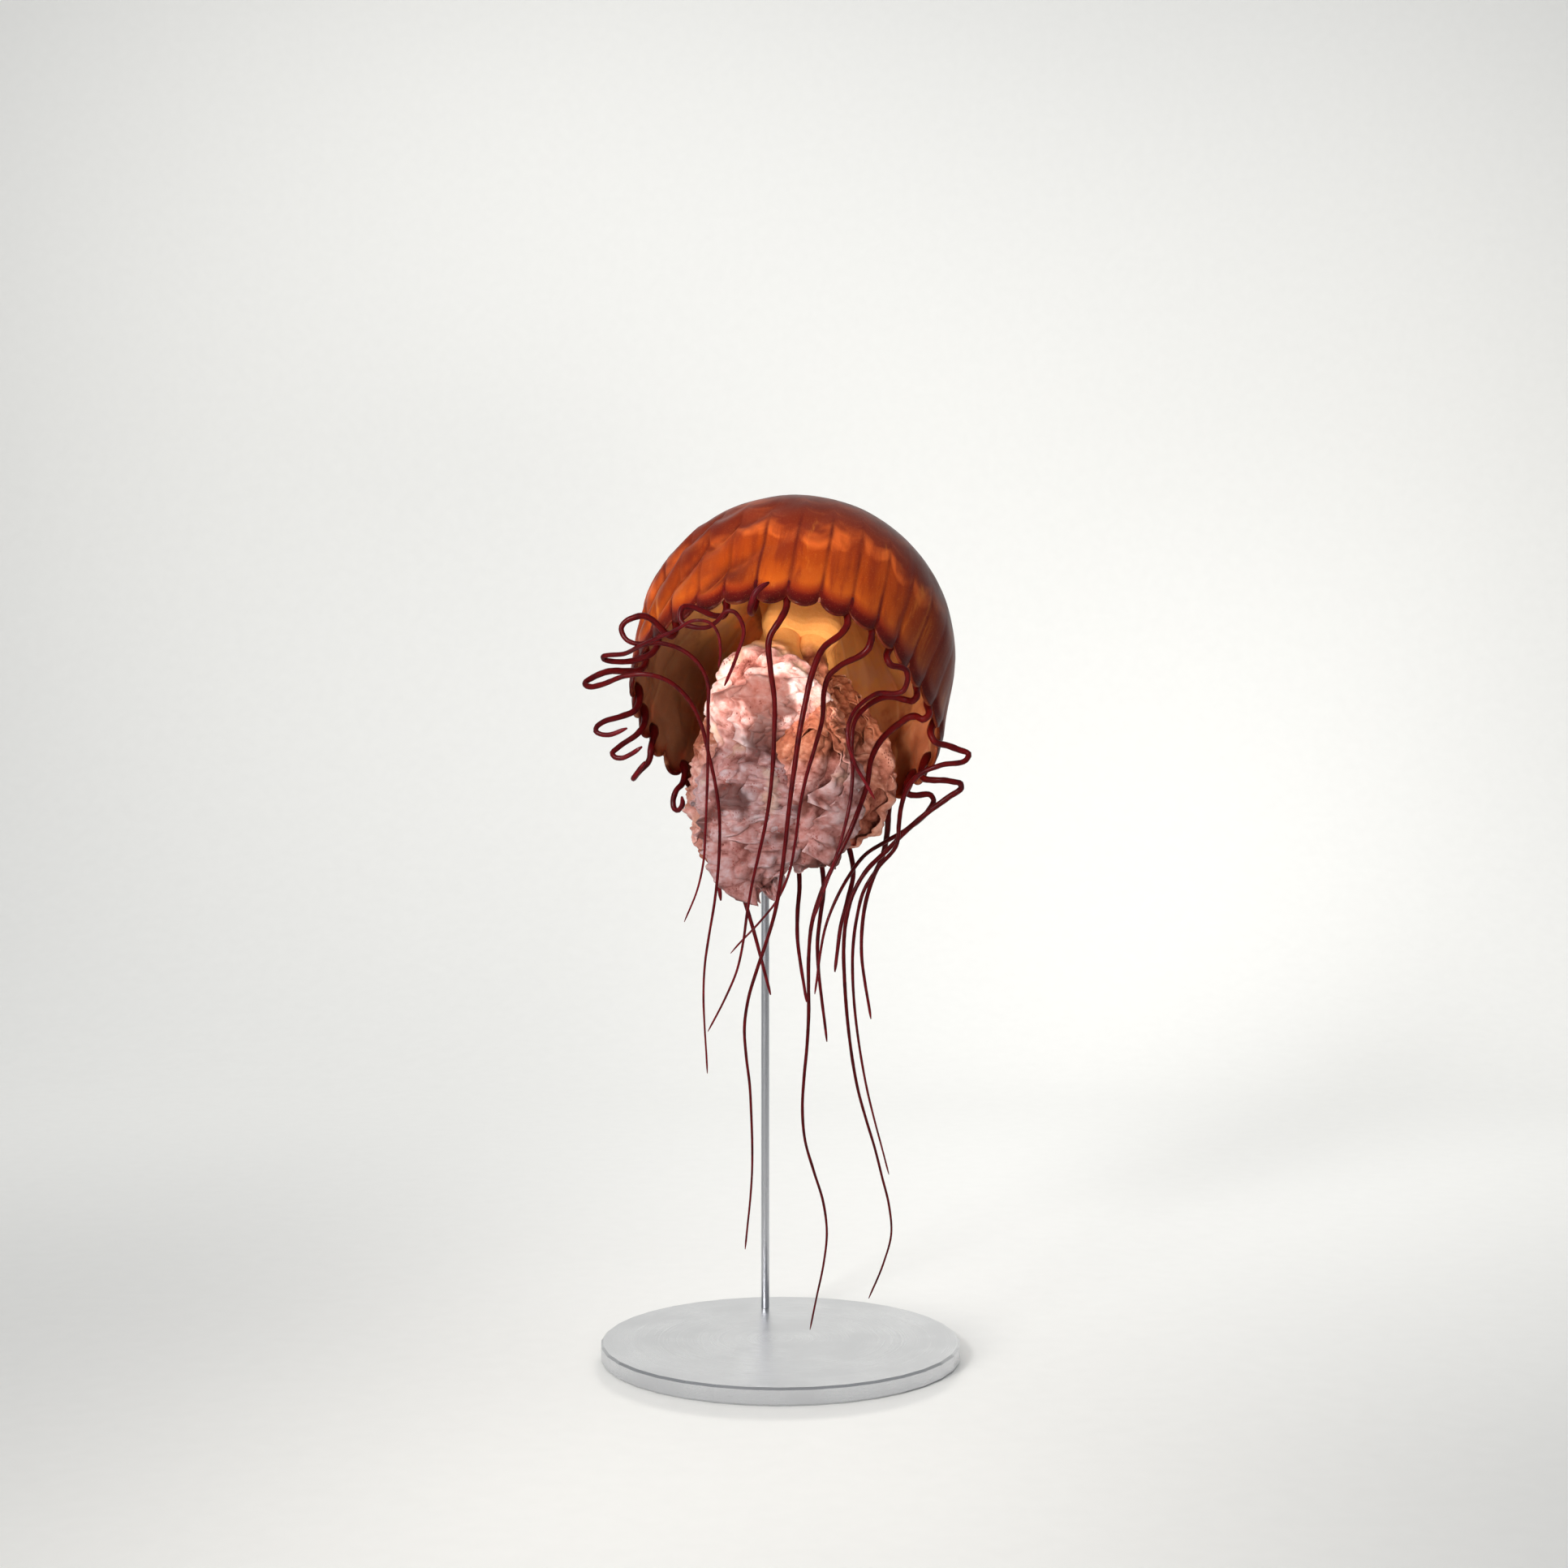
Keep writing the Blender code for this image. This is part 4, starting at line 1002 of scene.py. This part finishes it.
def arms_material():
    """Oral arms: gold at the root, partly painted glow, then pink with brown hollows of painted shade
    and pale cream ridges of painted highlight.
    """
    s = Shader("oral_arm_flesh")
    level, down, warmth = s.marks()
    place = s.place()
    broad = s.noise(place, 34.0, 3.0, 0.5)
    fine = s.noise(place, 420.0, 5.0, 0.65)
    level = s.maths("ADD", level, s.fit(fine, 0.3, 0.7, 0.10, -0.10))
    # A painted shadow round each arm's waist joins the brown painted shade of broad hollows; where the
    # broad noise is low, it paints cream highlights.
    painted_waist_shadow = s.product(s.fit(down, 0.42, 0.49, 0.13), s.fit(down, 0.60, 0.53))
    flesh = s.tinted(
        s.ramp(level, PINK_COLOURS),
        ((116, 62, 52), s.fit(s.maths("ADD", broad, painted_waist_shadow), 0.50, 0.62, 0.85)),
        ((252, 214, 182), s.fit(broad, 0.40, 0.30, 0.6)))
    flesh = s.mix(s.fit(down, 0.34, 0.56, 0.9), flesh, srgb(114, 110, 120), "MULTIPLY")
    flesh = s.mix(warmth, flesh, s.ramp(level, TANNED_COLOURS))
    # The root's gold is partly pigment and partly painted glow of light through the bell.
    gold = s.mix(fine, srgb(244, 152, 74), srgb(255, 188, 112))
    reach = s.maths("ADD", down, s.fit(broad, 0.3, 0.7, 0.03, -0.03))
    specks = s.dots(s.stretched(place, (1.0, 1.0, 0.7)), 560.0)
    crowded = s.product(s.fit(s.noise(place, 70.0, 2.0), 0.54, 0.66), s.fit(down, 0.18, 0.26))
    colour = s.tinted(
        s.mix(s.fit(reach, 0.16, 0.23), gold, flesh),
        ((92, 34, 28), s.fit(specks, 0.42, 0.16, 0.85), crowded))
    normal = s.bump(fine, 0.0006, 0.6)
    rough = s.fit(fine, 0.3, 0.7, 0.58, 0.40)
    return s.flesh(colour, normal, rough, colour, 0.08, 0.002, PINK_DEPTHS, 0.08)


def tentacle_material():
    """Tentacles: dark maroon, redder towards the root, with darker mottles and pale specks."""
    s = Shader("tentacle_flesh")
    share = s.marks()[0]
    place = s.place()
    mottle = s.noise(place, 160.0, 4.0, 0.6)
    specks = s.dots(place, 1100.0)
    colour = s.tinted(
        s.ramp(share, TENTACLE_COLOURS),
        ((32, 3, 6), s.fit(mottle, 0.42, 0.7, 0.7)),
        ((150, 58, 44), s.fit(specks, 0.2, 0.05, 0.3)))
    normal = s.bump(s.fit(specks, 0.0, 0.35), 0.0001, 0.5)
    rough = s.fit(mottle, 0.3, 0.7, 0.42, 0.28)
    glow = srgb(150, 30, 24)
    return s.flesh(colour, normal, rough, glow, 0.10, 0.002, AMBER_DEPTHS, 0.05)


def metal_material(name, tone, roughness, turned):
    """Satin metal. Turned work has fine rings round the middle; drawn rod has lines along it."""
    s = Shader(name)
    place = s.place()
    if turned:
        x, y, z = s.parts(place)
        radius = s.maths("SQRT", s.maths("ADD", s.product(x, x), s.product(y, y)))
        rings = s.node("CombineXYZ", {"X": radius, "Z": z}).outputs[0]
        lines = s.noise(rings, 2600.0, 2.0)
    else:
        lines = s.noise(s.stretched(place, (1.0, 1.0, 0.02)), 3200.0, 2.0)
    clouds = s.noise(place, 30.0, 3.0)
    dimmed = (*(0.82 * channel for channel in tone[:3]), 1.0)
    colour = s.mix(s.fit(clouds, 0.3, 0.7, 0.25), tone, dimmed)
    rough = s.fit(s.maths("ADD", lines, s.product(clouds, 0.5)), 0.5, 1.0,
                  roughness + 0.07, roughness - 0.05)
    surface = s.node("BsdfPrincipled", {
        "Base Color": colour, "Metallic": 1.0, "Roughness": rough,
        "Normal": s.bump(lines, 0.00004, 0.5)})
    return s.finish(surface.outputs[0])


def stage_material():
    s = Shader("stage_paper")
    grain = s.noise(s.place(), 60.0, 5.0)
    colour = s.mix(grain, srgb(240, 240, 238), srgb(245, 245, 243))
    surface = s.node("BsdfPrincipled", {
        "Base Color": colour, "Roughness": 0.9, "Normal": s.bump(grain, 0.0004, 0.15)})
    return s.finish(surface.outputs[0])


# ---------------- pieces

def build_skin(bell, flesh, tentacle):
    skin = Surface("sea_nettle_skin")
    add_bell(skin, 0)
    add_sense_organs(skin, 0)
    add_manubrium(skin, 1)
    for index, place in enumerate(ARM_ROOTS):
        add_arm_core(skin, Arm(place, CORE_STEP), index, 1)
    for number, notch in enumerate(TENTACLE_NOTCHES, start=1):
        add_tentacle(skin, number, notch, 2)
    return skin.build([bell, flesh, tentacle])


def dress_stand():
    base = metal_material("stand_turned_aluminium", srgb(214, 215, 218), 0.30, True)
    rod = metal_material("stand_drawn_steel", srgb(190, 191, 196), 0.26, False)
    for name, material in (("stand_base", base), ("stand_rod", rod), ("stand_pad", rod)):
        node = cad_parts[name]
        node.data.materials.clear()
        node.data.materials.append(material)


# ---------------- stage, lights, camera

FLOOR_HALF_WIDTH = 4.0
FLOOR_FRONT = -3.0
SWEEP_START = 1.2
SWEEP_RADIUS = 1.0
SWEEP_HEIGHT = 3.2
SWEEP_STEPS = 16

WARM = (1.0, 0.96, 0.90)
NEUTRAL = (1.0, 0.99, 0.97)
BELL_MIDDLE = tuple(RIM_CENTRE)
# Name, place, target, size, power, colour, spread in degrees, and whether wet flesh mirrors it.
LIGHTS = (
    ("key", (-0.95, -1.45, 0.50), BELL_MIDDLE, (0.6, 0.6), 2.9, WARM, 45.0, False),
    ("sheen", (-0.75, -1.35, 0.95), BELL_MIDDLE, (0.35, 0.35), 1.4, NEUTRAL, 40.0, True),
    ("mouth", (0.30, -1.25, 0.16), BELL_MIDDLE, (0.5, 0.5), 1.2, WARM, 40.0, False),
    ("back", (0.1, 1.3, 0.75), BELL_MIDDLE, (0.5, 0.5), 2.5, WARM, 30.0, False),
    ("top", (0.0, 0.4, 2.6), (0.0, 0.4, 0.0), (3.0, 2.0), 18.0, NEUTRAL, 140.0, False),
    ("backdrop", (0.0, 0.2, 2.2), (0.0, 2.2, 1.0), (3.0, 0.6), 12.0, NEUTRAL, 120.0, False))
SKY_COLOUR = (0.96, 0.98, 1.0, 1.0)
SKY_STRENGTH = 0.36


def build_stage():
    """A pale floor that sweeps up into a backdrop."""
    profile = [(FLOOR_FRONT, 0.0), (SWEEP_START, 0.0)]
    for step in range(1, SWEEP_STEPS + 1):
        turn = pi / 2 * step / SWEEP_STEPS
        profile.append((SWEEP_START + SWEEP_RADIUS * sin(turn),
                        SWEEP_RADIUS * (1.0 - cos(turn))))
    profile.append((SWEEP_START + SWEEP_RADIUS, SWEEP_HEIGHT))
    points = [(x, y, z) for y, z in profile for x in (-FLOOR_HALF_WIDTH, FLOOR_HALF_WIDTH)]
    faces = [(2 * i, 2 * i + 1, 2 * i + 3, 2 * i + 2) for i in range(len(profile) - 1)]
    data = bpy.data.meshes.new("stage_sweep")
    data.from_pydata(points, [], faces)
    data.shade_smooth()
    data.materials.append(stage_material())
    add_object("stage_sweep", data)


def add_light(name, place, target, size, power, colour, spread, mirrored):
    """A soft area light aimed at a target."""
    data = bpy.data.lights.new(name, "AREA")
    data.shape = "RECTANGLE"
    data.size, data.size_y = size
    data.energy = power
    data.color = colour
    data.spread = radians(spread)
    light = add_object(name, data)
    light.location = place
    light.rotation_mode = "QUATERNION"
    light.rotation_quaternion = (Vector(target) - Vector(place)).to_track_quat("-Z", "Y")
    light.visible_glossy = mirrored
    light.visible_camera = False


def build_sky():
    world = bpy.data.worlds.new("studio")
    world.use_nodes = True
    background = world.node_tree.nodes["Background"]
    background.inputs["Color"].default_value = SKY_COLOUR
    background.inputs["Strength"].default_value = SKY_STRENGTH
    bpy.context.scene.world = world


def build_camera():
    data = bpy.data.cameras.new("camera")
    data.lens = CAMERA_LENS
    data.sensor_width = CAMERA_SENSOR
    camera = add_object("camera", data)
    camera.location = CAMERA_PLACE
    camera.rotation_euler = (pi / 2, 0.0, 0.0)
    bpy.context.scene.camera = camera


def main():
    scene = bpy.context.scene
    scene.view_settings.view_transform = "Standard"
    scene.cycles.use_denoising = True
    flesh = arms_material()
    skin = build_skin(bell_material(), flesh, tentacle_material())
    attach(skin, "root")
    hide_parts(*[node for node in sorted(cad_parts) if not node.startswith("stand_")])
    for index, place in enumerate(ARM_ROOTS):
        frills = build_frills(place, index, flesh)
        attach(frills, "root")
    dress_stand()
    build_stage()
    for light in LIGHTS:
        add_light(*light)
    build_sky()
    build_camera()


main()
